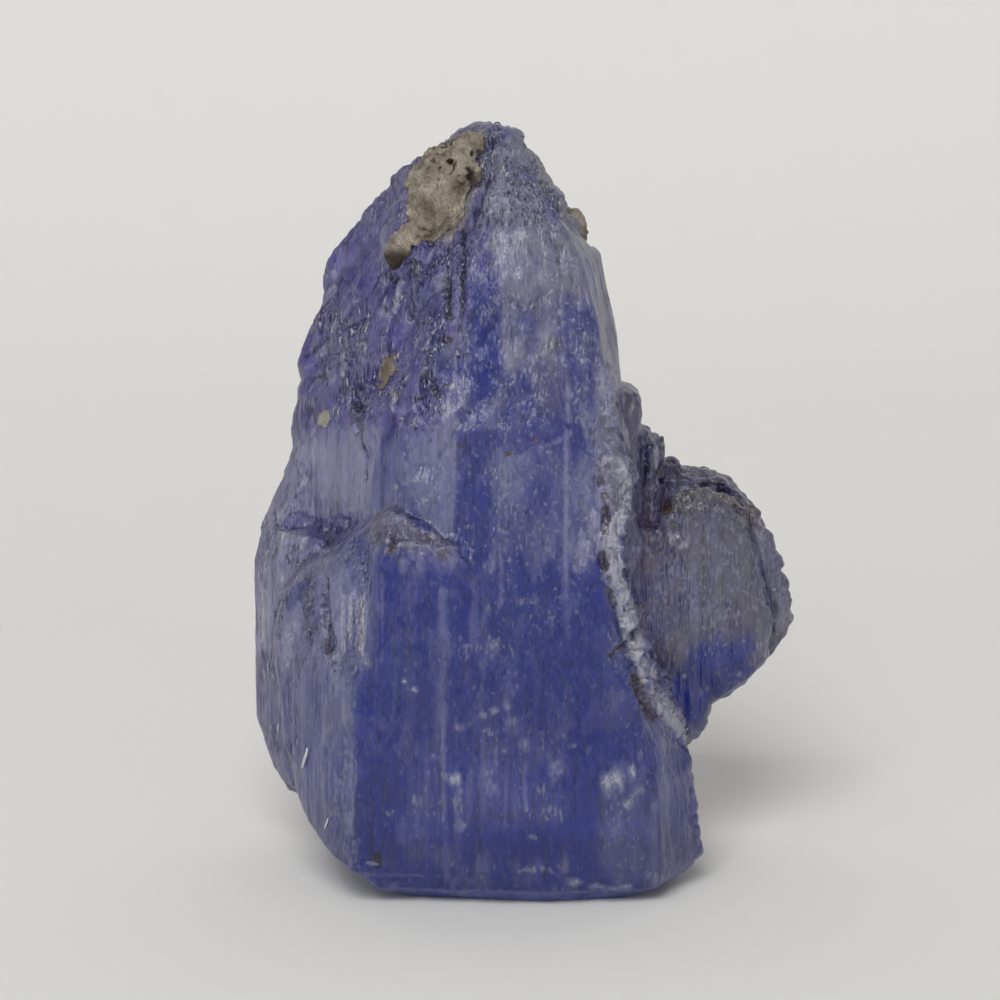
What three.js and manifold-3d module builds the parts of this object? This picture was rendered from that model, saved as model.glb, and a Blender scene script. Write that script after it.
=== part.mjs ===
// A rough tanzanite: a striated blue-violet crystal spire with smaller parallel crystals grown on to its
// flanks, a lobed plate of crystal standing off its right rear, and remnants of pale host rock near its tip.
// Millimetres, +Z up along the crystals' long axis, the widest view looking along +Y.
import * as THREE from "three";
import { mergeVertices } from "three/addons/utils/BufferGeometryUtils.js";
import Module from "manifold-3d";

const wasm = await Module();
wasm.setup();

// ---------------------------------------------------------------- driving dimensions

const HEIGHT = 23.0; // foot to tip
const FOOT_TRIM = 0.2; // how much of the lowest ring is worn away to the resting flat
const SEAT_GAP = 0.3; // clearance left round each piece of host rock
const BLADE_TAPER = 1.3; // how far a blade's foot tapers

// Colours, linear roughness and metalness of the two minerals.
const TANZANITE = new THREE.MeshStandardMaterial({ color: 0x4a4b8c, roughness: 0.28, metalness: 0 });
const HOST_ROCK = new THREE.MeshStandardMaterial({ color: 0xa79d88, roughness: 0.85, metalness: 0 });

// ---------------------------------------------------------------- noise

// A repeatable number from 0 to 1 for a whole-number cell.
function hash(i, j, k) {
  const s = Math.sin(i * 127.1 + j * 311.7 + k * 74.7) * 43758.5453;
  return s - Math.floor(s);
}

const ease = (t) => t * t * (3 - 2 * t);

// Smooth noise from -1 to 1 with one lump for each unit of length.
function noise(x, y, z) {
  const [i, j, k] = [x, y, z].map(Math.floor);
  const [u, v, w] = [ease(x - i), ease(y - j), ease(z - k)];
  const along = (dj, dk) => THREE.MathUtils.lerp(hash(i, j + dj, k + dk), hash(i + 1, j + dj, k + dk), u);
  const across = (dk) => THREE.MathUtils.lerp(along(0, dk), along(1, dk), v);
  return 2 * THREE.MathUtils.lerp(across(0), across(1), w) - 1;
}

const within = (value, low, high, soft) =>
  THREE.MathUtils.smoothstep(value, low - soft, low + soft) *
  (1 - THREE.MathUtils.smoothstep(value, high - soft, high + soft));

// ---------------------------------------------------------------- relief of the surfaces

// Growth striae: shallow ribs that run the length of the crystal.
const striae = (p, height = 0.07, pitch = 1.1) => height * noise(p.x / pitch, p.y / pitch, p.z / (14 * pitch));

// Dissolution hillocks: drop-shaped bumps, taller than wide.
const hillocks = (p, height = 0.16, pitch = 0.85) =>
  height * noise(p.x / pitch + 7.3, p.y / pitch, p.z / (1.7 * pitch));

// Shingled ledges that climb the left flank from lower left to upper right: each one swells and drops away.
function ledges(p, height = 0.34, pitch = 2.1) {
  const climb = (p.z - 1.15 * p.x + 0.9 * noise(p.x / 2.5, p.y / 2.5, p.z / 3)) / pitch;
  const share = climb - Math.floor(climb);
  return height * (0.5 - share ** 2.2);
}

// Broken or rounded ground, the same in every direction.
const lumps = (p, height, pitch) => height * noise(p.x / pitch + 3.1, p.y / pitch - 5.7, p.z / pitch + 1.9);

// ---------------------------------------------------------------- rings of corners

// A ring from its corners' x, y, z, or from x, y pairs at one height, or from x, z pairs in one upright plane.
const ringAt = (corners) => corners.map(([x, y, z]) => new THREE.Vector3(x, y, z));
const level = (z, corners) => corners.map(([x, y]) => new THREE.Vector3(x, y, z));
const upright = (y, corners) => corners.map(([x, z]) => new THREE.Vector3(x, y, z));

const centreOf = (ring) =>
  ring.reduce((total, p) => total.add(p), new THREE.Vector3()).divideScalar(ring.length);

// A ring drawn in or out from its own centre by a share of its size.
function resized(ring, share) {
  const middle = centreOf(ring);
  return ring.map((p) => p.clone().sub(middle).multiplyScalar(share).add(middle));
}

// An upright ring whose corners are pushed unevenly to the front and back.
const uneven = (ring, height) => ring.map((p) => p.clone().setY(p.y + lumps(p, height, 1.7)));

// The point on a closed ring at a corner's number plus a share of the way to the next.
function aroundRing(ring, side) {
  const k = Math.floor(side);
  return ring[k].clone().lerp(ring[(k + 1) % ring.length], side - k);
}

// ---------------------------------------------------------------- lofted solids

const sum = (counts) => counts.reduce((total, n) => total + n, 0);

// Where the grid lines fall, counted in spans: each span k is cut in counts[k] equal cells.
const stops = (counts) => counts.flatMap((n, k) => Array.from({ length: n }, (_, i) => k + i / n));

// A geometry with only its points and faces, and each point once.
function merged(shape) {
  shape.deleteAttribute("normal");
  shape.deleteAttribute("uv");
  return mergeVertices(shape, 1e-4);
}

// A geometry as a solid, turned face out where its rings ran the other way.
function solid(geometry) {
  const { array } = geometry.getAttribute("position");
  const make = (triVerts) => new wasm.Manifold(new wasm.Mesh({ numProp: 3, vertProperties: array, triVerts }));
  const faces = new Uint32Array(geometry.index.array);
  const made = make(faces);
  return made.volume() > 0 ? made : make(faces.reverse());
}

// A point on the walls between rings, moved outwards by the relief there.
function spotOn(rings, side, rise, relief) {
  const k = Math.min(Math.floor(rise), rings.length - 2);
  const spot = aroundRing(rings[k], side).lerp(aroundRing(rings[k + 1], side), rise - k);
  const middle = centreOf(rings[k]).lerp(centreOf(rings[k + 1]), rise - k);
  const outward = spot.clone().sub(middle).normalize();
  return spot.addScaledVector(outward, relief(spot));
}

// A closed solid through rings of corners, all with the same count, with a point at each end.
// cells holds the number of cells from each corner to the next, rows the number from each ring to the next.
function loft({ rings, foot, tip, cells, rows, relief }) {
  const around = sum(cells);
  const up = sum(rows);
  const sides = stops(cells);
  const rises = stops(rows).concat(rings.length - 1);
  const geometry = merged(new THREE.CylinderGeometry(1, 1, 1, around, up));
  const position = geometry.getAttribute("position");
  for (let i = 0; i < position.count; i++) {
    const [a, b, c] = [position.getX(i), position.getY(i), position.getZ(i)];
    const isEnd = Math.hypot(a, c) < 0.5;
    const column = Math.round((Math.atan2(-c, a) / (2 * Math.PI) + 1) * around) % around;
    const row = Math.round((b + 0.5) * up);
    const spot = isEnd ? (b < 0 ? foot : tip) : spotOn(rings, sides[column], rises[row], relief);
    position.setXYZ(i, spot.x, spot.y, spot.z);
  }
  return solid(geometry);
}

// ---------------------------------------------------------------- the main spire

// Corners run from the front left edge across the front, round the right and back, to the left edge.
const SPIRE_RINGS = [
  level(-FOOT_TRIM, [
    [-2.6, -4.0], [0.6, -4.6], [2.6, -4.2], [3.0, -2.4], [2.4, 0.6], [0.4, 1.6], [-2.2, 1.0], [-3.0, -1.0],
  ]),
  level(0.45, [
    [-4.4, -5.0], [0.6, -5.4], [4.0, -5.0], [5.0, -3.0], [4.0, 2.0], [0.4, 3.2], [-4.2, 2.4], [-5.2, -1.0],
  ]),
  level(1.1, [
    [-5.0, -5.3], [0.6, -5.6], [4.1, -5.2], [5.4, -3.1], [4.4, 2.3], [0.6, 3.6], [-4.8, 3.0], [-5.8, -0.2],
  ]),
  level(3.6, [
    [-5.0, -5.2], [0.6, -5.5], [4.0, -5.0], [5.1, -3.0], [4.2, 2.6], [0.6, 4.0], [-4.8, 3.4], [-6.6, 0.8],
  ]),
  level(6.0, [
    [-4.6, -4.9], [0.0, -5.2], [3.5, -4.7], [4.2, -2.7], [3.8, 2.6], [0.6, 4.0], [-4.8, 3.6], [-6.9, 1.0],
  ]),
  level(8.8, [
    [-4.2, -4.4], [-0.2, -4.7], [2.5, -4.2], [3.3, -2.3], [3.4, 2.5], [0.5, 4.0], [-4.8, 3.6], [-7.0, 1.2],
  ]),
  level(11.6, [
    [-3.6, -3.7], [-0.4, -4.0], [2.6, -3.6], [3.5, -1.6], [3.1, 2.4], [0.4, 3.8], [-4.6, 3.5], [-7.3, 1.4],
  ]),
  level(14.3, [
    [-3.6, -3.0], [-0.5, -3.3], [2.6, -2.9], [3.0, -0.6], [2.7, 2.2], [0.0, 3.5], [-4.4, 3.1], [-7.0, 1.4],
  ]),
  level(17.0, [
    [-2.5, -2.2], [-0.3, -2.4], [2.2, -2.0], [2.75, 0.2], [2.3, 2.1], [-0.4, 3.1], [-4.2, 2.8], [-6.5, 1.3],
  ]),
  level(19.0, [
    [-1.6, -1.6], [0.1, -1.8], [1.8, -1.4], [2.35, 0.5], [1.9, 1.8], [-0.6, 2.6], [-3.6, 2.4], [-5.8, 1.2],
  ]),
  level(20.5, [
    [-1.1, -1.1], [0.0, -1.3], [0.9, -0.9], [1.25, 0.4], [1.0, 1.5], [-0.8, 2.2], [-3.0, 2.0], [-4.7, 1.1],
  ]),
  level(21.9, [
    [-1.3, -0.4], [-0.5, -0.6], [0.2, -0.3], [0.55, 0.5], [0.3, 1.2], [-0.9, 1.7], [-2.2, 1.6], [-3.1, 0.9],
  ]),
  level(22.75, [
    [-1.5, 0.0], [-0.9, -0.1], [-0.3, 0.1], [0.0, 0.6], [-0.2, 1.1], [-0.9, 1.4], [-1.7, 1.3], [-2.1, 0.7],
  ]),
];

// The left flank is etched to ledges and hillocks, the tip and the back are worn lumpy, and the right front edge
// is bruised to a ragged crest.
function spireRelief(p) {
  const isFlank = within(p.x + 0.35 * p.y, -12, -2.6, 0.7) * within(p.y, -4, 1.9, 0.4);
  const etched = isFlank * within(p.z, 13.2, HEIGHT, 1.0);
  const crown = THREE.MathUtils.smoothstep(p.z, 19.0, 21.0);
  const back = within(p.y, 2.2, 9, 0.4);
  const crest = within(p.x - 0.2 * p.y, 3.3, 9, 0.2) * within(p.y, -5, -1, 0.3) * within(p.z, 4, 15, 1.5);
  return (
    striae(p) +
    etched * (ledges(p) + hillocks(p)) +
    crown * lumps(p, 0.22, 0.8) +
    back * lumps(p, 0.4, 2.3) +
    crest * lumps(p, 0.26, 0.7)
  );
}

const spire = () =>
  loft({
    rings: SPIRE_RINGS,
    foot: new THREE.Vector3(0.2, -1.2, -FOOT_TRIM),
    tip: new THREE.Vector3(-1.0, 0.7, HEIGHT),
    cells: [8, 8, 5, 8, 6, 7, 6, 16],
    rows: [1, 1, 4, 4, 5, 5, 5, 5, 4, 3, 3, 2],
    relief: spireRelief,
  });

// ---------------------------------------------------------------- the crystals on its left

// The block grown on to the front left, with a rounded top that ends at mid height. Corners run from its right
// edge, hidden in the spire's front face, across the front to the left and back.
const BLOCK_RINGS = [
  [
    [-1.5, -4.9, 0.4], [-4.4, -4.9, 0.6], [-5.5, -4.1, 1.0],
    [-6.3, -3.1, 1.7], [-6.5, -1.4, 2.2], [-2.3, -1.0, 0.5],
  ],
  [
    [-1.2, -5.4, 0.9], [-5.2, -5.5, 1.2], [-6.0, -4.6, 1.6],
    [-6.8, -3.2, 2.5], [-7.0, -0.5, 2.6], [-2.3, -0.5, 1.2],
  ],
  [
    [-1.2, -5.25, 4.4], [-5.2, -5.35, 4.4], [-6.3, -4.3, 4.4],
    [-7.3, -2.6, 4.4], [-7.4, 0.2, 4.4], [-2.3, 0.0, 4.4],
  ],
  [
    [-1.2, -4.95, 6.9], [-5.15, -5.05, 6.9], [-6.4, -3.9, 6.9],
    [-7.6, -2.3, 6.7], [-7.5, 0.2, 6.7], [-2.3, 0.0, 6.9],
  ],
  [
    [-1.2, -4.8, 7.7], [-4.45, -5.0, 7.7], [-6.2, -3.7, 7.7],
    [-7.7, -2.1, 7.5], [-7.5, 0.2, 7.5], [-2.3, 0.0, 7.7],
  ],
  [
    [-1.4, -4.45, 9.7], [-4.35, -4.75, 9.8], [-5.8, -3.6, 9.6],
    [-7.3, -2.0, 8.9], [-7.2, 0.0, 8.9], [-2.3, 0.0, 9.9],
  ],
  [
    [-1.8, -4.35, 10.4], [-4.1, -4.5, 11.0], [-5.3, -3.5, 10.6],
    [-6.5, -2.1, 9.9], [-6.6, -0.2, 10.0], [-2.3, -0.5, 10.8],
  ],
  [
    [-2.8, -4.0, 11.5], [-3.9, -4.0, 11.9], [-4.8, -3.2, 11.2],
    [-5.8, -1.9, 10.5], [-5.8, -0.5, 10.6], [-2.8, -1.0, 11.6],
  ],
].map(ringAt);

function blockRelief(p) {
  const shoulder = within(p.z, 6.9, 13, 0.8) * within(p.x, -9, -4.5, 0.4);
  const top = within(p.z, 10.4, 13, 0.4);
  return striae(p, 0.05) + shoulder * hillocks(p, 0.24, 0.9) + top * lumps(p, 0.16, 0.6);
}

const frontBlock = () =>
  loft({
    rings: BLOCK_RINGS,
    foot: new THREE.Vector3(-4.2, -3.0, 0.9),
    tip: new THREE.Vector3(-4.0, -2.6, 12.0),
    cells: [7, 5, 6, 4, 3, 1],
    rows: [1, 3, 3, 1, 3, 2, 2],
    relief: blockRelief,
  });

// The two parallel slabs on the left edge: a low one in front of a taller one.
const LOW_SLAB_RINGS = [
  level(2.3, [[-7.4, -0.4], [-6.4, -1.2], [-5.0, 1.0], [-6.5, 2.2], [-7.5, 1.2]]),
  level(3.4, [[-7.9, -0.4], [-6.4, -1.6], [-5.0, 1.0], [-6.5, 2.4], [-7.9, 1.4]]),
  level(9.6, [[-7.9, -0.6], [-6.4, -1.8], [-5.0, 1.0], [-6.5, 2.4], [-7.9, 1.4]]),
  level(10.5, [[-7.7, -0.5], [-6.2, -1.6], [-4.6, 0.9], [-6.3, 2.2], [-7.7, 1.2]]),
];
const TALL_SLAB_RINGS = [
  level(1.9, [[-7.3, 0.6], [-6.8, -0.2], [-5.5, 0.5], [-5.5, 2.6], [-7.0, 2.2]]),
  level(2.6, [[-7.8, 0.7], [-7.0, -0.4], [-5.5, 0.5], [-5.5, 2.8], [-7.4, 2.4]]),
  level(3.7, [[-8.15, 0.8], [-7.3, -0.4], [-5.5, 0.5], [-5.5, 3.0], [-7.7, 2.5]]),
  level(4.2, [[-8.35, 0.9], [-7.6, -0.4], [-5.5, 0.5], [-5.5, 3.0], [-7.8, 2.6]]),
  level(9.2, [[-8.35, 1.0], [-7.6, -0.3], [-5.5, 0.5], [-5.5, 3.0], [-7.8, 2.6]]),
  level(10.6, [[-8.1, 1.1], [-7.4, -0.1], [-5.5, 0.5], [-5.5, 3.0], [-7.6, 2.5]]),
  level(11.5, [[-7.65, 1.2], [-7.1, 0.2], [-5.5, 0.6], [-5.5, 2.8], [-7.2, 2.4]]),
  level(12.3, [[-7.2, 1.3], [-6.8, 0.6], [-5.5, 0.7], [-5.5, 2.6], [-6.8, 2.2]]),
];

const slabRelief = (p) => striae(p, 0.05, 0.9) + lumps(p, 0.06, 0.8);

const leftSlabs = () => [
  loft({
    rings: LOW_SLAB_RINGS,
    foot: new THREE.Vector3(-6.4, 0.4, 2.1),
    tip: new THREE.Vector3(-6.2, 0.2, 10.6),
    cells: [4, 4, 1, 1, 4],
    rows: [1, 4, 1],
    relief: slabRelief,
  }),
  loft({
    rings: TALL_SLAB_RINGS,
    foot: new THREE.Vector3(-6.5, 1.2, 1.8),
    tip: new THREE.Vector3(-6.5, 1.4, 12.6),
    cells: [3, 1, 3, 4, 4],
    rows: [1, 1, 1, 4, 2, 1, 1],
    relief: slabRelief,
  }),
];

// ---------------------------------------------------------------- the lobed plate at the right rear

// Outlines in x and z of its near leaf, with a tooth at the foot, and of the far leaf that stands round it.
const NEAR_LEAF = [
  [2.0, 9.6], [3.4, 10.7], [4.4, 10.5], [5.2, 10.8], [6.2, 10.7], [6.8, 10.2], [7.2, 9.4], [7.4, 8.5],
  [7.6, 7.4], [7.5, 6.4], [7.0, 5.7], [6.4, 5.1], [5.8, 4.8], [5.65, 4.2], [5.3, 3.65], [4.6, 3.7],
  [3.6, 4.6], [2.2, 6.6],
];
const FAR_LEAF = [
  [1.8, 10.4], [3.0, 11.8], [4.4, 11.9], [5.3, 11.9], [6.0, 11.8], [6.6, 11.4], [7.15, 10.7], [7.5, 10.0],
  [7.75, 9.1], [8.0, 8.1], [8.3, 7.35], [8.15, 6.8], [7.7, 6.2], [7.1, 5.7], [6.4, 5.2], [5.4, 5.4],
  [3.8, 6.2], [2.2, 7.6],
];

const leaf = (rings, rows) =>
  loft({
    rings,
    foot: centreOf(rings[0]),
    tip: centreOf(rings[rings.length - 1]),
    cells: NEAR_LEAF.map(() => 2),
    rows,
    relief: (p) => striae(p, 0.06, 0.8) + lumps(p, 0.12, 0.9),
  });

const rearLobe = () => [
  leaf(
    [
      uneven(resized(upright(-0.62, NEAR_LEAF), 0.35), 0.12),
      uneven(resized(upright(-0.58, NEAR_LEAF), 0.72), 0.16),
      uneven(resized(upright(-0.4, NEAR_LEAF), 0.94), 0.1),
      upright(0.3, NEAR_LEAF),
      upright(1.6, NEAR_LEAF),
    ],
    [2, 1, 1, 1],
  ),
  leaf(
    [
      upright(0.9, FAR_LEAF),
      upright(1.3, FAR_LEAF),
      upright(2.2, FAR_LEAF),
      uneven(resized(upright(3.2, FAR_LEAF), 0.9), 0.25),
      uneven(resized(upright(3.7, FAR_LEAF), 0.5), 0.3),
    ],
    [1, 1, 1, 3],
  ),
];

// ---------------------------------------------------------------- upright blades

// A blade of crystal: an outline of x, y corners, tapered at its foot, with a worn top that slopes by slope[0]
// for each millimetre of x and by slope[1] for each millimetre of y.
function blade({ outline, foot, top, slope, wear }) {
  const base = level(0, outline);
  const middle = centreOf(base);
  const raised = (share, z) => resized(base, share).map((p) => p.setZ(z));
  const sloped = (share, drop) =>
    resized(base, share).map((p) =>
      p.setZ(top - drop + slope[0] * (p.x - middle.x) + slope[1] * (p.y - middle.y)),
    );
  return loft({
    rings: [
      raised(0.55, foot),
      raised(0.95, foot + BLADE_TAPER),
      sloped(1, 1.6 * wear),
      sloped(0.86, 0.5 * wear),
      sloped(0.5, 0),
    ],
    foot: new THREE.Vector3(middle.x, middle.y, foot - 0.1),
    tip: new THREE.Vector3(middle.x, middle.y, top + 0.05),
    cells: outline.map(() => 2),
    rows: [1, 3, 1, 1],
    relief: (p) => striae(p, 0.08, 0.8) + lumps(p, 0.1, 1.1),
  });
}

// Stepped columns between the spire's right shoulder and the lobed plate, from left to right.
const RIGHT_BLADES = [
  {
    outline: [[2.2, 0.0], [2.9, -0.6], [3.5, -0.1], [3.5, 0.8], [2.4, 1.2]],
    foot: 8.5, top: 15.05, slope: [-0.3, 0], wear: 0.25,
  },
  {
    outline: [[2.8, 0.6], [3.5, 0.1], [3.95, 0.5], [3.9, 1.5], [2.8, 1.7]],
    foot: 8.0, top: 13.7, slope: [-0.5, 0], wear: 0.2,
  },
  {
    outline: [[3.5, 0.5], [3.9, 0.0], [4.35, 0.5], [4.25, 1.4], [3.4, 1.6]],
    foot: 8.0, top: 13.2, slope: [-0.3, 0], wear: 0.2,
  },
  {
    outline: [[3.9, 1.2], [4.4, 0.8], [4.9, 1.3], [4.8, 2.3], [3.8, 2.4]],
    foot: 8.0, top: 12.3, slope: [0.1, 0], wear: 0.2,
  },
];

// The back: parallel blades with stepped tops, broken off at different heights.
const BACK_BLADES = [
  {
    outline: [[-7.2, 1.6], [-5.4, 1.0], [-3.2, 2.4], [-3.3, 4.0], [-6.4, 3.7]],
    foot: 2.6, top: 14.6, slope: [0.6, -0.35], wear: 0.4,
  },
  {
    outline: [[-4.6, 2.6], [-2.6, 2.2], [-0.6, 3.2], [-0.8, 4.7], [-4.0, 4.6]],
    foot: 1.4, top: 10.4, slope: [-0.5, -0.3], wear: 0.3,
  },
  {
    outline: [[-2.6, 2.0], [-0.4, 1.6], [1.6, 2.4], [1.5, 4.3], [-2.0, 4.4]],
    foot: 1.1, top: 17.0, slope: [0.6, -0.5], wear: 0.45,
  },
  {
    outline: [[0.6, 2.4], [2.4, 1.6], [4.4, 2.1], [4.2, 3.8], [1.2, 4.2]],
    foot: 1.8, top: 12.6, slope: [-0.6, -0.3], wear: 0.35,
  },
];

// ---------------------------------------------------------------- the host rock

// Half widths before turning, and turns about x, y and z in radians.
const CRUST = {
  centre: new THREE.Vector3(-2.5, -0.35, 20.75),
  size: [1.0, 0.55, 2.2],
  turn: [-0.5, 0.42, -0.5],
};
const CHIP = {
  centre: new THREE.Vector3(1.3, 0.9, 19.55),
  size: [0.6, 0.6, 0.75],
  turn: [0, 0.5, 0.3],
  detail: 2,
};

// A lump of host rock: an icosahedron stretched to size, roughened, and turned to lie on the flank.
function rockLump({ centre, size, turn, grow = 0, detail = 3 }) {
  const geometry = merged(new THREE.IcosahedronGeometry(1, detail));
  const position = geometry.getAttribute("position");
  const lie = new THREE.Quaternion().setFromEuler(new THREE.Euler(...turn, "ZYX"));
  const extent = new THREE.Vector3(...size).addScalar(grow);
  const point = new THREE.Vector3();
  for (let i = 0; i < position.count; i++) {
    point.fromBufferAttribute(position, i);
    const reach = 1 + lumps(point, 0.22, 0.6) + lumps(point, 0.1, 0.25);
    point.multiplyScalar(reach).multiply(extent).applyQuaternion(lie).add(centre);
    position.setXYZ(i, point.x, point.y, point.z);
  }
  return solid(geometry);
}

// ---------------------------------------------------------------- the specimen

const grown = [
  spire(),
  frontBlock(),
  ...leftSlabs(),
  ...rearLobe(),
  ...[...RIGHT_BLADES, ...BACK_BLADES].map(blade),
].reduce((whole, next) => whole.add(next));

const ground = solid(merged(new THREE.BoxGeometry(60, 60, 10).translate(0, 0, -5)));
const crystal = grown
  .subtract(ground)
  .subtract(rockLump({ ...CRUST, grow: SEAT_GAP }))
  .subtract(rockLump({ ...CHIP, grow: SEAT_GAP }));

// A named mesh from a solid.
function meshOf(name, body, material) {
  const { numProp, vertProperties, triVerts } = body.getMesh();
  const geometry = new THREE.BufferGeometry()
    .setAttribute("position", new THREE.BufferAttribute(vertProperties.filter((_, i) => i % numProp < 3), 3))
    .setIndex(new THREE.BufferAttribute(triVerts, 1));
  geometry.computeVertexNormals();
  const mesh = new THREE.Mesh(geometry, material);
  mesh.name = name;
  return mesh;
}

const specimen = new THREE.Group();
specimen.add(
  meshOf("tanzanite_crystal", crystal, TANZANITE),
  meshOf("host_rock_crust", rockLump(CRUST), HOST_ROCK),
  meshOf("host_rock_chip", rockLump(CHIP), HOST_ROCK),
);

// The origin is the middle of the bounding box, at the level of the resting flat.
const box = new THREE.Box3().setFromObject(specimen);
const middle = box.getCenter(new THREE.Vector3());
specimen.position.set(-middle.x, -middle.y, -box.min.z);

export default specimen;
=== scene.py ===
"""A rough tanzanite: looks of the crystal, of its host rock and of the grains and fibres that lie on it."""

import logging
import math
from dataclasses import dataclass
from enum import Enum

import bmesh
import bpy
import numpy as np
from mathutils import Matrix, Vector
from mathutils.bvhtree import BVHTree


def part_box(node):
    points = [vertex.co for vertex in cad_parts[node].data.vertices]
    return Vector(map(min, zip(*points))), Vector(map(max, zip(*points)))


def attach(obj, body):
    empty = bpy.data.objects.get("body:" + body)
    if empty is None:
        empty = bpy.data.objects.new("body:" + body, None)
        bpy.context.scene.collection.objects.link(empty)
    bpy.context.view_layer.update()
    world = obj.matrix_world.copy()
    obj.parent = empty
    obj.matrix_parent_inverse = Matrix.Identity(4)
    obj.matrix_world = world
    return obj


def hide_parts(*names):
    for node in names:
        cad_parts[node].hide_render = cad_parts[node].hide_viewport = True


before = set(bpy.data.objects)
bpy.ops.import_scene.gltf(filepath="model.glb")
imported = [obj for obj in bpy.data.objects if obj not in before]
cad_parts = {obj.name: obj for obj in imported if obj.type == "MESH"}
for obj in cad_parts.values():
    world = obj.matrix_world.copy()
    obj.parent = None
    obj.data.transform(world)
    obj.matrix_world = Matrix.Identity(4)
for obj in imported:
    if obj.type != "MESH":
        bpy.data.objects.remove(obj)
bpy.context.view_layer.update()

LOG = logging.getLogger("tanzanite")
MM = 0.001               # a millimetre in the scene's metres; meshes are shaped in millimetres
GLOSS = 0.030            # how much light the crystal's gloss adds to every colour of it
LIGHT = 0.50             # how bright a white face of it is seen
UNIT = 0.0302            # millimetres on the crystal to one unit of the front view's plane

Array = np.ndarray
Object = bpy.types.Object
Material = bpy.types.Material
NodeTree = bpy.types.NodeTree
Socket = bpy.types.NodeSocket
Point2 = tuple[float, float]
Point3 = tuple[float, float, float]


# ---------------------------------------------------------------- noise


def scramble(cells: Array, seed: int) -> Array:
    """Hash whole-number cells.

    Args:
        cells: Whole numbers, x, y and z in the last axis.
        seed: Which of the repeatable fields is meant.

    Returns:
        One number from 0 to 1 for each cell.
    """
    i, j, k = (cells[..., axis].astype(np.int64) & 0xFFFFFFFF for axis in range(3))
    mixed = (i * 73856093) ^ (j * 19349663) ^ (k * 83492791) ^ (seed * 2654435761)
    mixed &= 0xFFFFFFFF
    mixed = ((mixed ^ (mixed >> 15)) * 2246822519) & 0xFFFFFFFF
    mixed = ((mixed ^ (mixed >> 13)) * 3266489917) & 0xFFFFFFFF
    return (mixed ^ (mixed >> 16)) / float(0xFFFFFFFF)


def noise(points: Array, pitch: float | Point3, seed: int = 0) -> Array:
    """Smooth noise from -1 to 1.

    Args:
        points: Points, one a row.
        pitch: Size of one lump, the same all ways or along x, y and z.
        seed: Which of the repeatable fields is meant.

    Returns:
        One value for each point.
    """
    turn = 0.6 + 0.37 * seed
    flat = np.array([[math.cos(turn), -math.sin(turn), 0], [math.sin(turn), math.cos(turn), 0], [0, 0, 1]])
    spots = (points / np.asarray(pitch, float)) @ flat.T
    base = np.floor(spots)
    share = spots - base
    share = share * share * (3 - 2 * share)
    total = np.zeros(len(points))
    for corner in np.ndindex(2, 2, 2):
        weight = np.prod(np.where(corner, share, 1 - share), axis=1)
        total += weight * scramble(base + corner, seed)
    return 2 * total - 1


def rough(points: Array, pitch: float | Point3, seed: int = 0, octaves: int = 3) -> Array:
    """Noise with finer and finer lumps added.

    Args:
        points: Points, one a row.
        pitch: Size of the largest lumps, the same all ways or along x, y and z.
        seed: Which of the repeatable fields is meant.
        octaves: How many sizes of lumps are added.

    Returns:
        One value from about -1 to 1 for each point.
    """
    total = np.zeros(len(points))
    for octave in range(octaves):
        total += 0.5 ** octave * noise(points, np.asarray(pitch, float) / 2.1 ** octave, seed + 11 * octave)
    return total / 1.5


def scattered(points: Array, pitch: Point3, seed: int = 0) -> tuple[Array, ...]:
    """Cells round scattered seeds, as scales, facets or hillocks lie.

    Args:
        points: Points, one a row.
        pitch: Size of a cell along x, y and z.
        seed: Which of the repeatable fields is meant.

    Returns:
        Distance to the nearest seed, distance to the next one, a number from 0 to 1 for the cell, and the
        height on a plane that each cell tilts its own way, from about -0.5 to 0.5.
    """
    spots = points / np.asarray(pitch, float)
    base = np.floor(spots)
    nearest = np.full(len(points), 9.0)
    second = np.full(len(points), 9.0)
    owner = np.zeros(len(points))
    slope = np.zeros(len(points))
    for offset in np.ndindex(3, 3, 3):
        cell = base + offset - 1
        luck = np.stack([scramble(cell, seed + axis) for axis in range(3)], axis=1)
        away = cell + luck - spots
        reach = np.linalg.norm(away, axis=1)
        closer = reach < nearest
        second = np.where(closer, nearest, np.minimum(second, reach))
        owner = np.where(closer, (luck[:, 0] * 7.3 + luck[:, 1] * 3.1) % 1, owner)
        slope = np.where(closer, np.sum(away * (luck[:, [1, 2, 0]] - 0.5), axis=1), slope)
        nearest = np.where(closer, reach, nearest)
    return nearest, second, owner, slope


def rise(values: Array, low: float, high: float) -> Array:
    """A smooth step from 0 at low to 1 at high; with low above high it falls instead."""
    share = np.clip((values - low) / (high - low), 0, 1)
    return share * share * (3 - 2 * share)


def within(values: Array, low: float, high: float, soft: float) -> Array:
    """1 between low and high, fading to 0 over soft at both ends."""
    return rise(values, low - soft, low + soft) * rise(values, high + soft, high - soft)


# ---------------------------------------------------------------- meshes


def deselect_all() -> None:
    """Leave edit mode and select nothing."""
    if bpy.context.object and bpy.context.object.mode != "OBJECT":
        bpy.ops.object.mode_set(mode="OBJECT")
    bpy.ops.object.select_all(action="DESELECT")


def activate(*objects: Object) -> None:
    """Select these objects alone, the first one active.

    Args:
        objects: The objects to select.
    """
    deselect_all()
    for obj in objects:
        obj.select_set(True)
    bpy.context.view_layer.objects.active = objects[0]


def modify(obj: Object, kind: str, **settings: object) -> None:
    """Add a modifier and apply it.

    Args:
        obj: The object that it shapes.
        kind: The modifier's kind, in Blender's capitals.
        settings: The modifier's own settings.
    """
    activate(obj)
    modifier = obj.modifiers.new(kind.title(), kind)
    for name, value in settings.items():
        setattr(modifier, name, value)
    bpy.ops.object.modifier_apply(modifier=modifier.name)


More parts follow.
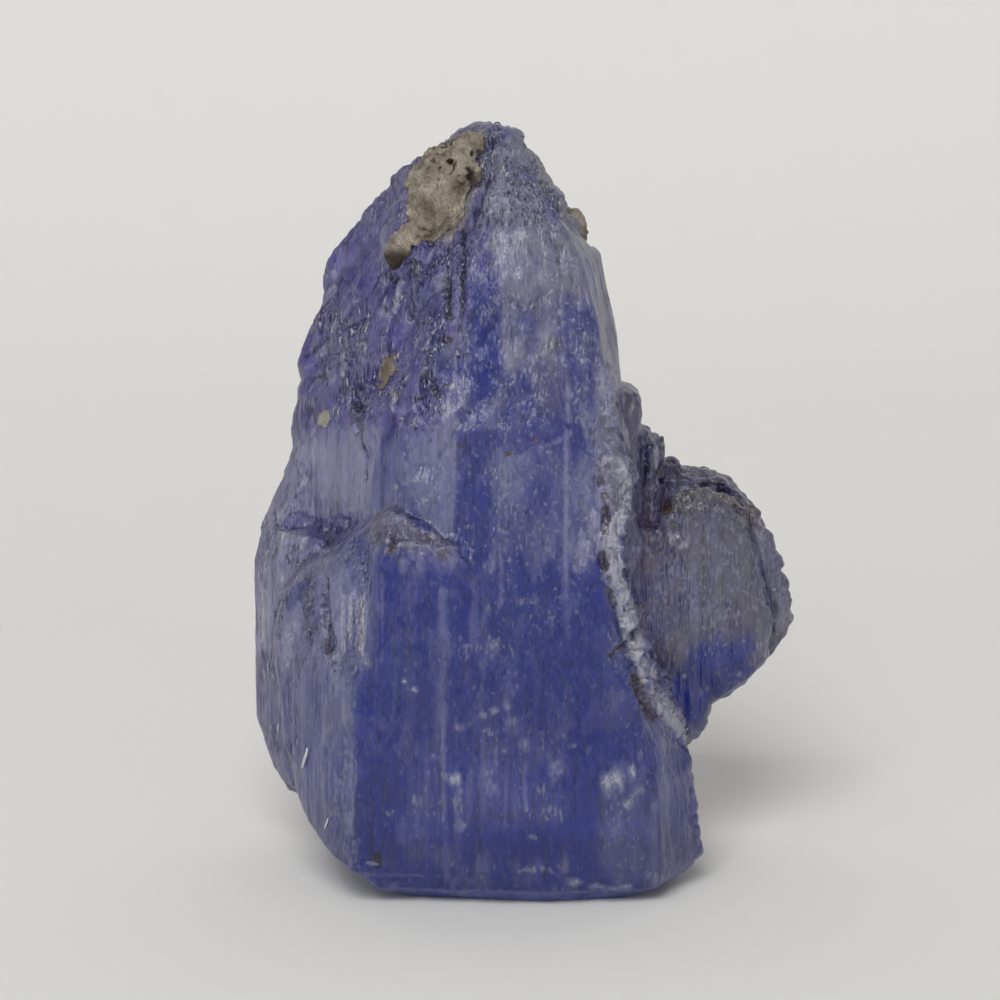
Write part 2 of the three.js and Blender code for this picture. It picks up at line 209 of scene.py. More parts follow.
def joined(objects: list[Object]) -> Object:
    """Join objects into the first one.

    Args:
        objects: The objects to join.

    Returns:
        The first one, which now holds them all.
    """
    activate(*objects)
    bpy.ops.object.join()
    return objects[0]


def copied(source: Object, name: str, placing: Matrix) -> Object:
    """Copy an object with a mesh of its own.

    Args:
        source: The object to copy.
        name: The copy's name.
        placing: Where the mesh is moved, turned or scaled to.

    Returns:
        The copy.
    """
    mesh = source.data.copy()
    mesh.transform(placing)
    mesh.materials.clear()
    copy = bpy.data.objects.new(name, mesh)
    bpy.context.scene.collection.objects.link(copy)
    return copy


def weld(obj: Object) -> None:
    """Merge the doubled points of loose triangles.

    Args:
        obj: The object whose mesh is merged.
    """
    activate(obj)
    bpy.ops.object.mode_set(mode="EDIT")
    bpy.ops.mesh.select_all(action="SELECT")
    bpy.ops.mesh.remove_doubles(threshold=0.0005)
    bpy.ops.mesh.normals_make_consistent(inside=False)
    bpy.ops.object.mode_set(mode="OBJECT")


def points_of(obj: Object) -> Array:
    """Read the points of a mesh.

    Args:
        obj: The object with the mesh.

    Returns:
        The points, one a row.
    """
    flat = np.zeros(len(obj.data.vertices) * 3)
    obj.data.vertices.foreach_get("co", flat)
    return flat.reshape(-1, 3)


def normals_of(obj: Object) -> Array:
    """Read the outward direction at each point of a mesh.

    Args:
        obj: The object with the mesh.

    Returns:
        The directions, one a row, each of length 1.
    """
    flat = np.zeros(len(obj.data.vertices) * 3, np.float32)
    obj.data.vertex_normals.foreach_get("vector", flat)
    return flat.reshape(-1, 3).astype(float)


def move_points(obj: Object, points: Array) -> None:
    """Give a mesh new places for its points."""
    obj.data.vertices.foreach_set("co", points.ravel())
    obj.data.update()


def relief(obj: Object, steps: int) -> Array:
    """Measure how far each point stands out from what lies round it.

    Args:
        obj: The object whose mesh is measured.
        steps: How many points away the comparison reaches.

    Returns:
        A height in millimetres for each point; hollows are negative.
    """
    points = points_of(obj)
    ends = np.zeros(len(obj.data.edges) * 2, np.int32)
    obj.data.edges.foreach_get("vertices", ends)
    here, there = np.concatenate([ends[0::2], ends[1::2]]), np.concatenate([ends[1::2], ends[0::2]])
    count = np.maximum(np.bincount(here, minlength=len(points)), 1)
    even = points.copy()
    for _ in range(steps):
        around = [np.bincount(here, weights=even[there, axis], minlength=len(points)) / count for axis in range(3)]
        even = (even + np.stack(around, axis=1)) / 2
    return np.sum((points - even) * normals_of(obj), axis=1)


def paint(obj: Object, name: str, values: Array) -> None:
    """Keep a value for each point of a mesh as an attribute.

    Args:
        obj: The object with the mesh.
        name: The attribute's name.
        values: One number, or one linear colour, for each point.
    """
    if values.ndim == 1:
        obj.data.attributes.new(name, "FLOAT", "POINT").data.foreach_set("value", values.astype(np.float32))
        return
    colours = np.ones((len(values), 4), np.float32)
    colours[:, :3] = values
    obj.data.attributes.new(name, "FLOAT_COLOR", "POINT").data.foreach_set("color", colours.ravel())


def finish_piece(obj: Object, material: Material) -> None:
    """Bring a piece from millimetres to metres, smooth it, dress it and let it ride.

    Args:
        obj: The piece, shaped in millimetres.
        material: What it is made of.
    """
    obj.data.transform(Matrix.Scale(MM, 4))
    obj.data.materials.clear()
    obj.data.materials.append(material)
    activate(obj)
    bpy.ops.object.shade_smooth()
    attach(obj, "root")
    LOG.info("%s: %d faces", obj.name, len(obj.data.polygons))


# ---------------------------------------------------------------- the front view


@dataclass(frozen=True)
class Sight:
    """The front view: the eye's place and the plane, 1000 units square, in which places are given."""

    aim: Point3 = (-0.73, 0.44, 11.38)
    distance: float = 140.0
    elevation: float = math.radians(13.0)
    plane: float = 1000.0
    focal: float = 4545.5
    sensor: float = 36.0
    clip: Point2 = (0.01, 5.0)

    def axes(self) -> tuple[Vector, Vector, Vector]:
        """The directions to the right, up and ahead."""
        sine, cosine = math.sin(self.elevation), math.cos(self.elevation)
        return Vector((1, 0, 0)), Vector((0, sine, cosine)), Vector((0, cosine, -sine))

    def eye(self) -> Vector:
        """Where the camera stands, in millimetres."""
        return Vector(self.aim) - self.distance * self.axes()[2]

    def ray(self, place: Point2) -> Vector:
        """Find the direction from the eye through a place.

        Args:
            place: The place in the front view's plane, across and down.

        Returns:
            The direction, of length 1.
        """
        right, up, ahead = self.axes()
        across = (place[0] - self.plane / 2) / self.focal
        down = (place[1] - self.plane / 2) / self.focal
        return (ahead + across * right - down * up).normalized()

    def project(self, points: Array) -> Array:
        """Find where points are seen.

        Args:
            points: Points, one a row.

        Returns:
            Their places in the front view's plane, across and down, one a row.
        """
        right, up, ahead = (np.array(axis) for axis in self.axes())
        offset = points - np.array(self.eye())
        depth = offset @ ahead
        across = self.plane / 2 + self.focal * (offset @ right) / depth
        down = self.plane / 2 - self.focal * (offset @ up) / depth
        return np.stack([across, down], axis=1)

    def put_camera(self) -> None:
        """Make the scene's camera."""
        data = bpy.data.cameras.new("front_camera")
        data.sensor_width = self.sensor
        data.lens = self.sensor * self.focal / self.plane
        data.clip_start, data.clip_end = self.clip
        camera = bpy.data.objects.new("front_camera", data)
        camera.location = self.eye() * MM
        camera.rotation_euler = (math.pi / 2 - self.elevation, 0, 0)
        bpy.context.scene.collection.objects.link(camera)
        bpy.context.scene.camera = camera


SIGHT = Sight()


class Ground:
    """The bare surface of the crystal, on which places of the front view are found."""

    def __init__(self, obj: Object) -> None:
        """Keep a search tree of the object's faces."""
        self.tree = BVHTree.FromObject(obj, bpy.context.evaluated_depsgraph_get())

    def spot(self, place: Point2) -> tuple[Vector, Vector]:
        """Find what a place of the front view shows.

        Args:
            place: The place in the front view's plane, across and down.

        Returns:
            The point on the crystal, and the outward direction there.
        """
        eye, ray = SIGHT.eye(), SIGHT.ray(place)
        point, normal, _, _ = self.tree.ray_cast(eye, ray)
        if point is None:
            beside = eye + ray * (SIGHT.distance / ray.dot(SIGHT.axes()[2]))
            point, normal, _, _ = self.tree.find_nearest(beside)
        return point, normal

    def path(self, places: tuple[Point2, ...]) -> Array:
        """The points that a line of places shows, one a row."""
        return np.array([self.spot(place)[0] for place in places])


# ---------------------------------------------------------------- colours


class Tint(Enum):
    """Colours as they are seen on the crystal, as red, green and blue from 0 to 255."""

    BODY = (74, 76, 120)
    NAVY = (44, 56, 118)
    DEEP = (58, 64, 120)
    VIOLET = (102, 94, 144)
    LAVENDER = (128, 128, 158)
    HAZE = (106, 107, 136)
    PALE = (158, 158, 178)
    FROST_AND_GLINT = (200, 200, 206)
    ASH = (128, 126, 135)
    CHALK_AND_GLINT = (206, 201, 196)
    BONE = (214, 209, 203)
    DUSK = (68, 63, 82)
    IRIS = (74, 62, 134)
    DUST = (130, 122, 112)
    SMOKE = (98, 90, 99)
    OLIVE = (98, 98, 104)
    BROWN = (84, 70, 60)
    PLUM = (50, 40, 66)
    INK = (42, 36, 48)

    def linear(self) -> Array:
        """Find the colour to give a surface, so that it is seen as this one.

        Returns:
            Red, green and blue in linear light, less the gloss over them and for the light that falls on them.
        """
        share = np.array(self.value) / 255
        seen = np.where(share <= 0.04045, share / 12.92, ((share + 0.055) / 1.055) ** 2.4)
        return np.clip((seen - GLOSS) / LIGHT, 0.004, 0.92)


(
    BODY, NAVY, DEEP, VIOLET, LAVENDER, HAZE, PALE, FROST_AND_GLINT, ASH, CHALK_AND_GLINT,
    BONE, DUSK, IRIS, DUST, SMOKE, OLIVE, BROWN, PLUM, INK,
) = Tint


@dataclass(frozen=True)
class Mark:
    """Something that lies on or in the surface along a path: a streak, cloud, crack or crumbly patch, or painted
    light: a glint, a lit tread or the shadow line under a ledge.

    The path is given in the front view's plane; reach, lift and grain are in millimetres. Tall and deep stretch
    the mark upwards and backwards, and soft and ragged say how its edge fades and frays.
    """

    path: tuple[Point2, ...]
    reach: float
    tint: Tint = HAZE
    strength: float = 0.0
    tall: float = 1.0
    soft: float = 0.6
    ragged: float = 0.4
    lift: float = 0.0
    grain: float = 0.0
    frost: float = 0.0
    soot: float = 0.0
    deep: float = 1.0

    def veiled(self) -> bool:
        """Whether the mark is a veil of haze inside the crystal."""
        return self.soft > 1.2 and self.tint in (HAZE, PALE, FROST_AND_GLINT)

    def mask(self, points: Array, ground: Ground, fuzz: Array) -> Array:
        """How much of the mark is at each point.

        Args:
            points: Points, one a row.
            ground: The surface that the path is found on.
            fuzz: Noise from -1 to 1 for each point, which makes the mark's edge ragged.

        Returns:
            A number from 0 to 1 for each point.
        """
        line = ground.path(self.path)
        span = self.reach * (1.5 + self.ragged)
        box = np.array([span, span * self.deep, span * self.tall])
        near = np.all((points > line.min(0) - box) & (points < line.max(0) + box), axis=1)
        found = np.zeros(len(points))
        if not near.any():
            return found
        squeeze = np.array([1, 1 / self.deep, 1 / self.tall])
        spots = points[near] * squeeze
        knots = line * squeeze
        away = np.linalg.norm(spots - knots[0], axis=1)
        for start, end in zip(knots[:-1], knots[1:]):
            along = end - start
            share = np.clip((spots - start) @ along / max(along @ along, 1e-9), 0, 1)
            away = np.minimum(away, np.linalg.norm(spots - start - share[:, None] * along, axis=1))
        edge = away / self.reach + self.ragged * fuzz[near]
        found[near] = rise(edge, 1 + self.soft / 2, 1 - self.soft / 2)
        return found


Row = tuple["float | Tint", ...]


def cloud(place: Point2, reach: float, tint: Tint, strength: float, tall: float, **more: float) -> Mark:
    """Make a soft veil of another colour.

    Args:
        place: Its middle in the front view's plane.
        reach: How wide it is to each side, in millimetres.
        tint: Its colour.
        strength: How much of that colour it has, up to 1.
        tall: Its height to its width.
        more: Any other field of the mark.

    Returns:
        The mark.
    """
    frost = 0.55 if tint is FROST_AND_GLINT else 0.0
    return Mark(
        path=(place,), reach=reach, tint=tint, strength=strength, tall=tall, soft=1.4,
        **{"ragged": 1.0, "frost": frost, **more}
    )


def clouds(*rows: Row) -> tuple[Mark, ...]:
    """Make clouds, each from its place across and down, reach, tint, strength and height to width."""
    return tuple(cloud(row[:2], *row[2:]) for row in rows)


def streaks(*rows: Row) -> tuple[Mark, ...]:
    """Make upright lines of colour, some of them painted highlights or painted shade, each from its place across,
    top, bottom, reach, tint and strength.
    """
    return tuple(
        Mark(((across, top), (across, bottom)), reach, tint, strength, soft=1.0, ragged=0.5)
        for across, top, bottom, reach, tint, strength in rows
    )


def specks(*rows: Row) -> tuple[Mark, ...]:
    """Make small clear-edged spots, painted glints among them, each from its place, reach, tint, height to width
    and, if any, lift.
    """
    return tuple(
        Mark(((across, down),), reach, tint, 0.9, tall, lift=lift[0] if lift else 0.0)
        for across, down, reach, tint, tall, *lift in rows
    )


def line(path: tuple[Point2, ...], reach: float, tint: Tint, strength: float, lift: float = 0.0) -> Mark:
    """Make a narrow line, such as a crack, a rim, a healed break, a painted glint or a painted shadow under a
    ledge.
    """
    return Mark(path=path, reach=reach, tint=tint, strength=strength, lift=lift, soft=0.9, ragged=0.5)


@dataclass(frozen=True)
class Ledge:
    """The edge of a terrace: the surface climbs towards a line and drops beyond it.

    The line is given in the front view's plane, left to right, the drop and the terrace's width in millimetres.
    """

    path: tuple[Point2, ...]
    drop: float
    width: float = 0.8
    back: float = 1.2

    def rise(self, points: Array, view: Array) -> Array:
        """Find how far the surface rises.

        Args:
            points: Points, one a row.
            view: Their places in the front view's plane.

        Returns:
            The rise in millimetres for each point.
        """
        nearest = np.full(len(points), 1e9)
        above = np.zeros(len(points), bool)
        for start, end in zip(np.array(self.path[:-1], float), np.array(self.path[1:], float)):
            along = end - start
            share = (view - start) @ along / (along @ along)
            away = view - start - np.clip(share, 0, 1)[:, None] * along
            reach = np.linalg.norm(away, axis=1)
            side = along[0] * (view[:, 1] - start[1]) - along[1] * (view[:, 0] - start[0]) < 0
            above = np.where(reach < nearest, side, above)
            nearest = np.minimum(nearest, reach)
        reach = nearest * UNIT
        foot = 0.5 * np.exp(-reach / 0.05) - 0.25 * np.exp(-reach / 0.25)
        high = np.where(above, np.exp(-reach / self.width), foot)
        ends = rise(view[:, 0], self.path[0][0] - 6, self.path[0][0] + 4) * rise(
            view[:, 0], self.path[-1][0] + 6, self.path[-1][0] - 4)
        return self.drop * high * ends * rise(points[:, 1], self.back, self.back - 0.4)


@dataclass(frozen=True)
class Zone:
    """A stretch of the crystal's colour zoning, which runs through its whole thickness.

    The sides are given in the front view's plane.
    """

    left: float
    right: float
    top: float
    bottom: float
    tint: Tint
    strength: float = 0.9
    side_soft: float = 6.0
    end_soft: float = 22.0

    def mask(self, view: Array, drift: Array, fringe: Array) -> Array:
        """How much of the zone is at each point.

        Args:
            view: The points' places in the front view's plane.
            drift: Noise from -1 to 1 for each point, which bends the zone's sides.
            fringe: Noise in upright threads, which frays the zone's ends.

        Returns:
            A number from 0 to 1 for each point.
        """
        across = view[:, 0] + (2.0 + 0.6 * self.side_soft) * drift
        down = view[:, 1] + (4.0 + 0.9 * self.end_soft) * fringe
        inside = within(across, self.left, self.right, self.side_soft)
        return self.strength * inside * within(down, self.top, self.bottom, self.end_soft)


# Colour zones from the tip down, later ones over earlier ones.
SPIRE_ZONES = (
    Zone(380, 640, 100, 260, ASH, 0.85, 12, 30),
    Zone(290, 480, 160, 440, VIOLET, 0.75, 16, 40),
    Zone(490, 640, 205, 370, ASH, 0.85, 8, 24),
    Zone(488, 620, 110, 300, PALE, 0.42, 12, 24),
    Zone(500, 560, 290, 330, BODY, 0.5, 8, 14),
    Zone(556, 602, 300, 420, BODY, 0.85, 6, 20),
    Zone(470, 500, 258, 398, NAVY, 0.9, 4, 20),
    Zone(500, 605, 370, 455, DEEP, 0.6, 8, 14),
    Zone(280, 402, 432, 530, LAVENDER, 0.9, 6, 12),
    Zone(290, 400, 440, 525, PALE, 0.48, 8, 12),
    Zone(372, 404, 430, 512, DEEP, 0.7, 3, 12),
    Zone(407, 431, 432, 572, LAVENDER, 0.75, 2, 16),
    Zone(432, 458, 425, 566, LAVENDER, 0.9, 2, 12),
    Zone(457, 489, 400, 620, DEEP, 0.75, 3, 20),
    Zone(489, 608, 458, 560, HAZE, 0.7, 4, 24),
    Zone(520, 560, 480, 560, BODY, 0.6, 5, 24),
    Zone(596, 612, 375, 580, PALE, 0.55, 4, 20),
    Zone(614, 670, 340, 520, SMOKE, 0.85, 4, 14),
    Zone(356, 720, 560, 900, DEEP, 0.95, 5, 12),
    Zone(360, 404, 575, 900, NAVY, 0.65, 4, 20),
    Zone(404, 430, 560, 900, NAVY, 0.3, 3, 20),
    Zone(430, 470, 700, 900, NAVY, 0.45, 5, 20),
    Zone(500, 552, 810, 900, NAVY, 0.85, 6, 12),
    Zone(566, 600, 700, 866, NAVY, 0.95, 3, 16),
    Zone(470, 565, 700, 800, BODY, 0.45, 10, 30),
    Zone(600, 645, 700, 760, BODY, 0.5, 6, 24),
    Zone(640, 705, 740, 900, BODY, 0.75, 4, 24),
    Zone(366, 740, 876, 930, NAVY, 0.45, 20, 8),
    Zone(625, 680, 470, 640, SMOKE, 0.85, 4, 14),
    Zone(645, 720, 640, 730, SMOKE, 0.5, 6, 14),
)
LEFT_ZONES = (
    Zone(230, 304, 480, 830, LAVENDER, 0.9, 5, 20),
    Zone(252, 300, 510, 660, PALE, 0.72, 4, 16),
    Zone(258, 330, 650, 860, BODY, 0.85, 5, 16),
    Zone(270, 378, 556, 668, LAVENDER, 0.65, 3, 14),
    Zone(262, 352, 655, 880, LAVENDER, 0.45, 3, 20),
    Zone(330, 352, 740, 880, BODY, 0.6, 4, 24),
    Zone(256, 330, 670, 860, DEEP, 0.4, 10, 24),
)
LOBE_ZONES = (
    Zone(620, 820, 440, 760, OLIVE, 0.95, 12, 16),
    Zone(620, 680, 540, 720, SMOKE, 0.55, 14, 30),
    Zone(752, 785, 505, 580, HAZE, 0.7, 6, 16),
    Zone(664, 704, 656, 730, NAVY, 0.85, 5, 12),
    Zone(686, 752, 640, 705, NAVY, 0.95, 6, 14),
    Zone(640, 800, 455, 486, SMOKE, 0.7, 6, 8),
    Zone(630, 668, 470, 575, SMOKE, 0.95, 6, 14),
)

LEDGES = (
    Ledge(((318, 315), (322, 311), (329, 301), (337, 289), (342, 279), (347, 272)), 0.12),
    Ledge(((342, 279), (351, 284), (359, 292), (364, 296)), 0.07, 0.4),
    Ledge(((345, 321), (351, 315), (355, 306), (364, 301), (369, 296), (374, 287), (382, 276), (389, 271),
           (397, 265)), 0.2),
    Ledge(((300, 386), (305, 379), (317, 366), (329, 357), (337, 347), (345, 338), (352, 331)), 0.09),
    Ledge(((416, 288), (422, 276), (428, 266), (435, 251), (442, 242)), 0.18, 0.6),
    Ledge(((284, 486), (289, 477), (297, 461), (303, 453), (312, 446)), 0.12, 0.6),
    Ledge(((380, 392), (388, 380), (397, 366), (404, 350)), 0.08, 0.5),
)

FLANK_MARKS = (
    Mark(((356, 396), (357, 420)), 0.24, INK, 0.85, tall=1.5, ragged=0.9, lift=-0.06, grain=0.1, soot=0.4),
    Mark(((447, 280), (450, 318)), 0.12, INK, 0.85, ragged=0.9, lift=-0.04),
    Mark(((439, 339), (449, 342)), 0.15, BROWN, 0.8, ragged=0.9, lift=-0.03, soot=0.35),
    Mark(((430, 376), (436, 392)), 0.18, PLUM, 0.9, ragged=0.9, lift=-0.04, soot=0.25),
    Mark(((411, 290), (413, 312)), 0.13, INK, 0.85, ragged=0.8, lift=-0.05),
    Mark(((413, 266), (419, 280)), 0.15, INK, 0.85, ragged=0.9, lift=-0.06),
    Mark(((400, 330), (398, 350)), 0.14, IRIS, 0.9, tall=1.6, ragged=0.8),
    Mark(((376, 372), (374, 392)), 0.16, IRIS, 0.9, tall=1.6, ragged=0.8),
    Mark(((309, 370), (306, 384)), 0.42, soft=1.6, ragged=0.2, lift=0.16),
    Mark(((292, 452), (292, 466)), 0.35, soft=1.4, ragged=0.2, lift=0.12),
    # Painted shadows: the five lines below cut shallow grooves along the ledges' edges and paint them dark as the
    # shade under each step.
    line(((322, 312), (332, 296), (341, 279)), 0.062, INK, 0.6, -0.05),
    line(((341, 279), (356, 288), (362, 296)), 0.037, INK, 0.5, -0.025),
    line(((366, 298), (376, 280), (391, 269), (400, 262)), 0.056, INK, 0.8, -0.06),
    line(((308, 356), (322, 342), (345, 329), (366, 318)), 0.062, INK, 0.6, -0.06),
    line(((300, 392), (316, 378), (341, 364)), 0.062, INK, 0.5, -0.05),
    line(((404, 262), (412, 270), (420, 262), (432, 244)), 0.062, INK, 0.9, -0.075),
    line(((414, 268), (419, 282), (418, 300)), 0.056, PLUM, 0.9, -0.05),
    line(((411, 290), (412, 305), (411, 318)), 0.085, INK, 0.95, -0.06),
    line(((463, 232), (464, 270), (462, 314)), 0.085, INK, 1.0, -0.06),
    line(((449, 278), (450, 300), (449, 318)), 0.075, INK, 0.9, -0.05),
    line(((461, 318), (459, 332)), 0.07, INK, 0.9, -0.04),
    line(((338, 292), (338, 318)), 0.031, INK, 0.7, -0.025),
    line(((346, 330), (342, 342)), 0.043, INK, 0.8, -0.04),
    line(((362, 322), (361, 340)), 0.031, INK, 0.7, -0.025),
    line(((386, 306), (387, 312)), 0.043, BROWN, 0.9, -0.025),
    Mark(((355, 393), (358, 408), (356, 424)), 0.17, INK, 0.95, tall=1.5, lift=-0.25, grain=0.05),
    Mark(((364, 400), (363, 424)), 0.13, INK, 0.8, tall=1.5, lift=-0.2),
    line(((363, 420), (365, 450), (367, 478)), 0.085, INK, 1.0, -0.11),
    line(((369, 364), (365, 386), (362, 404)), 0.075, IRIS, 1.0, -0.04),
    line(((395, 316), (392, 334), (389, 350)), 0.085, IRIS, 1.0, -0.04),
    # Painted glints: the seven lines below are short white and pale upright strokes, raised a little, where etched
    # facets mirror the light.
    line(((402, 283), (399, 295)), 0.12, CHALK_AND_GLINT, 1.0, 0.05),
    line(((397, 302), (396, 311)), 0.11, CHALK_AND_GLINT, 1.0, 0.05),
    line(((364, 345), (363, 361)), 0.11, CHALK_AND_GLINT, 1.0, 0.05),
    line(((345, 354), (344, 374)), 0.12, CHALK_AND_GLINT, 0.9, 0.06),
    line(((383, 338), (382, 376)), 0.08, PALE, 1.0, 0.05),
    line(((395, 396), (395, 409)), 0.12, CHALK_AND_GLINT, 1.0, 0.06),
    line(((402, 424), (405, 464)), 0.09, PALE, 1.0, 0.05),
    line(((349, 424), (350, 432)), 0.037, BROWN, 0.8),
    line(((306, 430), (311, 410), (317, 398)), 0.037, INK, 0.6, -0.03),
    # Painted shadow: a shallow groove along the lowest ledge's edge, painted dark as the shade under it.
    line(((287, 470), (297, 452), (308, 440)), 0.043, INK, 0.5, -0.04),
    line(((328, 428), (327, 446)), 0.037, PLUM, 0.8, -0.025),
    # Painted highlights: the two marks below are pale lens-shaped treads above the ledges, raised a little and
    # painted pale as faces that turn up to the light.
    Mark(((327, 298), (334, 290)), 0.12, PALE, 0.75, tall=1.8, soft=0.5, ragged=0.15, lift=0.05),
    Mark(((321, 358), (330, 347)), 0.15, PALE, 0.65, tall=1.6, soft=0.5, ragged=0.15, lift=0.06),
    Mark(((318, 362), (312, 368)), 0.07, PALE, 0.6),
    Mark(((352, 392), (350, 400)), 0.12, PALE, 0.6, tall=1.8),
    # The white streak at 402.5 across is a painted glint.
    *streaks(
        (302, 404, 428, 0.05, PALE, 0.7), (383, 342, 366, 0.07, PALE, 0.7), (343, 350, 370, 0.1, PALE, 0.75),
        (348, 350, 368, 0.05, SMOKE, 0.8), (402.5, 418, 462, 0.055, FROST_AND_GLINT, 1.0),
        (366.5, 396, 412, 0.05, FROST_AND_GLINT, 0.8), (374, 424, 470, 0.09, PALE, 0.5), (378, 430, 470, 0.05, PALE, 0.5),
        (340, 440, 520, 0.16, HAZE, 0.6), (316, 440, 458, 0.1, PALE, 0.6), (322, 440, 458, 0.06, PALE, 0.6),
        (330, 470, 520, 0.08, LAVENDER, 0.6), (390, 335, 350, 0.12, DEEP, 0.9),
        (396, 318, 352, 0.12, VIOLET, 0.9), (377, 330, 396, 0.22, VIOLET, 0.8),
        (404, 285, 312, 0.14, VIOLET, 0.8), (408, 300, 340, 0.1, VIOLET, 0.7),
    ),
    *clouds(
        (428, 300, 0.5, BODY, 0.8, 2.4), (405, 355, 0.45, HAZE, 0.55, 1.8), (438, 336, 0.22, DEEP, 0.9, 1.4),
        (440, 360, 0.28, DEEP, 0.9, 1.8), (453, 372, 0.24, DEEP, 0.7, 1.6), (462, 330, 0.4, HAZE, 0.5, 1.8),
        (470, 395, 0.5, HAZE, 0.5, 1.4), (372, 250, 0.75, VIOLET, 0.5, 1.3), (360, 218, 0.6, HAZE, 0.4, 1.3),
        (325, 390, 0.4, VIOLET, 0.6, 1.6), (331, 372, 0.18, PALE, 0.5, 1.2), (417, 345, 0.18, PALE, 0.5, 2.2),
        (444, 286, 0.16, PALE, 0.6, 2.2), (436, 284, 0.13, PALE, 0.5, 2.0),
    ),
    line(((440, 340), (447, 337), (448, 346)), 0.043, BROWN, 0.8),
    line(((430, 378), (434, 392), (438, 390)), 0.062, PLUM, 0.8, -0.025),
    line(((470, 345), (471, 356)), 0.037, INK, 0.9, -0.02),
    # Painted glints: these small white and pale upright specks, raised a little, stand where etched facets mirror
    # the light.
    *specks(
        (402, 286, 0.0945, FROST_AND_GLINT, 2.6, 0.05), (398, 306, 0.0945, FROST_AND_GLINT, 2.2, 0.05),
        (386, 300, 0.081, FROST_AND_GLINT, 2.4, 0.05), (388, 318, 0.0675, FROST_AND_GLINT, 2.4, 0.04),
        (385, 283, 0.0675, FROST_AND_GLINT, 2.4, 0.04), (416, 270, 0.108, FROST_AND_GLINT, 1.6, 0.05),
        (405, 310, 0.07, PALE, 2.6, 0.04), (365, 352, 0.0945, FROST_AND_GLINT, 2.8, 0.05),
        (360.5, 358, 0.0945, FROST_AND_GLINT, 2.0, 0.05), (346, 366, 0.108, FROST_AND_GLINT, 1.6, 0.04),
        (334, 273, 0.0945, FROST_AND_GLINT, 1.8, 0.05), (344, 330, 0.081, FROST_AND_GLINT, 1.2, 0.04),
        (361, 326, 0.0675, FROST_AND_GLINT, 2.4, 0.04), (395, 402, 0.121, FROST_AND_GLINT, 1.6, 0.05),
        (392, 392, 0.0675, FROST_AND_GLINT, 1.8, 0.03), (406, 378, 0.081, FROST_AND_GLINT, 2.6, 0.03),
        (425, 367, 0.081, FROST_AND_GLINT, 1.2, 0.03), (427, 349, 0.08, PALE, 1.2, 0.03), (445, 351, 0.07, PALE, 1.4, 0.03),
        (452, 387, 0.108, FROST_AND_GLINT, 1.0, 0.03), (444, 406, 0.0675, FROST_AND_GLINT, 1.0, 0.03),
        (415, 410, 0.08, PALE, 2.4, 0.03), (398, 487, 0.0945, FROST_AND_GLINT, 1.2, 0.04),
        (402, 495, 0.0675, FROST_AND_GLINT, 1.0, 0.03), (302, 444, 0.0945, FROST_AND_GLINT, 1.4, 0.03),
        (394, 514, 0.0675, FROST_AND_GLINT, 1.0, 0.03),
    ),
)

TIP_MARKS = (
    Mark(((468, 146), (452, 172), (438, 196), (430, 216)), 0.85, lift=-0.14),
    Mark(((414, 228), (404, 242), (395, 256)), 0.3, lift=-0.14),
    Mark(((455, 134), (470, 130), (485, 134), (481, 155), (480, 172), (471, 192), (466, 210), (455, 229),
          (440, 238), (424, 233), (410, 240), (400, 252)), 0.13, DUST, 0.75, ragged=1.3, grain=0.04, frost=0.5),
    Mark(((446, 142), (430, 152), (416, 168), (408, 182), (406, 206), (409, 224), (396, 236)), 0.1, DUST, 0.7,
         ragged=1.3, grain=0.04, frost=0.4),
    Mark(((443, 236), (447, 228), (455, 222)), 0.22, DUST, 0.6, ragged=1.5, frost=0.5),
    *streaks(
        (446, 226, 243, 0.05, DUST, 0.8), (453, 224, 238, 0.05, DUST, 0.8), (460, 216, 232, 0.06, DUST, 0.7),
        (471, 212, 228, 0.05, PALE, 0.7), (449.5, 228, 244, 0.04, INK, 0.8), (457, 226, 240, 0.05, INK, 0.8),
        (466, 218, 236, 0.05, INK, 0.7), (475, 208, 226, 0.05, PLUM, 0.7),
    ),
    Mark(((446, 236), (455, 226), (466, 214)), 0.16, DUST, 0.8, ragged=1.2, lift=0.05, grain=0.06),
    *specks(
        (495, 155, 0.1, FROST_AND_GLINT, 2.0, 0.06), (510, 186, 0.08, FROST_AND_GLINT, 1.8, 0.05), (492, 180, 0.07, FROST_AND_GLINT, 1.4, 0.04),
        (543, 187, 0.1, FROST_AND_GLINT, 1.4, 0.06), (549, 196, 0.08, FROST_AND_GLINT, 1.6, 0.05), (541, 198, 0.06, FROST_AND_GLINT, 1.4, 0.05),
        (507, 201, 0.1, FROST_AND_GLINT, 1.4, 0.05), (520, 142, 0.09, PALE, 0.7, 0.04), (528, 190, 0.12, PALE, 1.2, 0.03),
    ),
    *clouds(
        (530, 155, 0.5, ASH, 0.6, 1.0), (505, 132, 0.22, VIOLET, 0.9, 1.2), (531, 175, 0.2, VIOLET, 0.8, 0.8),
        (554, 215, 0.3, VIOLET, 0.9, 1.4), (496, 140, 0.16, PLUM, 0.6, 1.4), (486, 122, 0.2, SMOKE, 0.6, 0.7),
    ),
    line(((548, 224), (556, 227), (563, 226)), 0.08, PALE, 0.7),
    *clouds((493, 248, 0.16, PLUM, 0.8, 1.8), (498, 222, 0.12, PLUM, 0.8, 1.6), (525, 248, 0.16, PLUM, 0.5, 1.6)),
    *specks((502, 212, 0.06, PLUM, 3.0)),
    line(((504, 232), (504, 262)), 0.1, PALE, 0.6),
    *streaks((485, 292, 392, 0.42, NAVY, 0.9)),
)

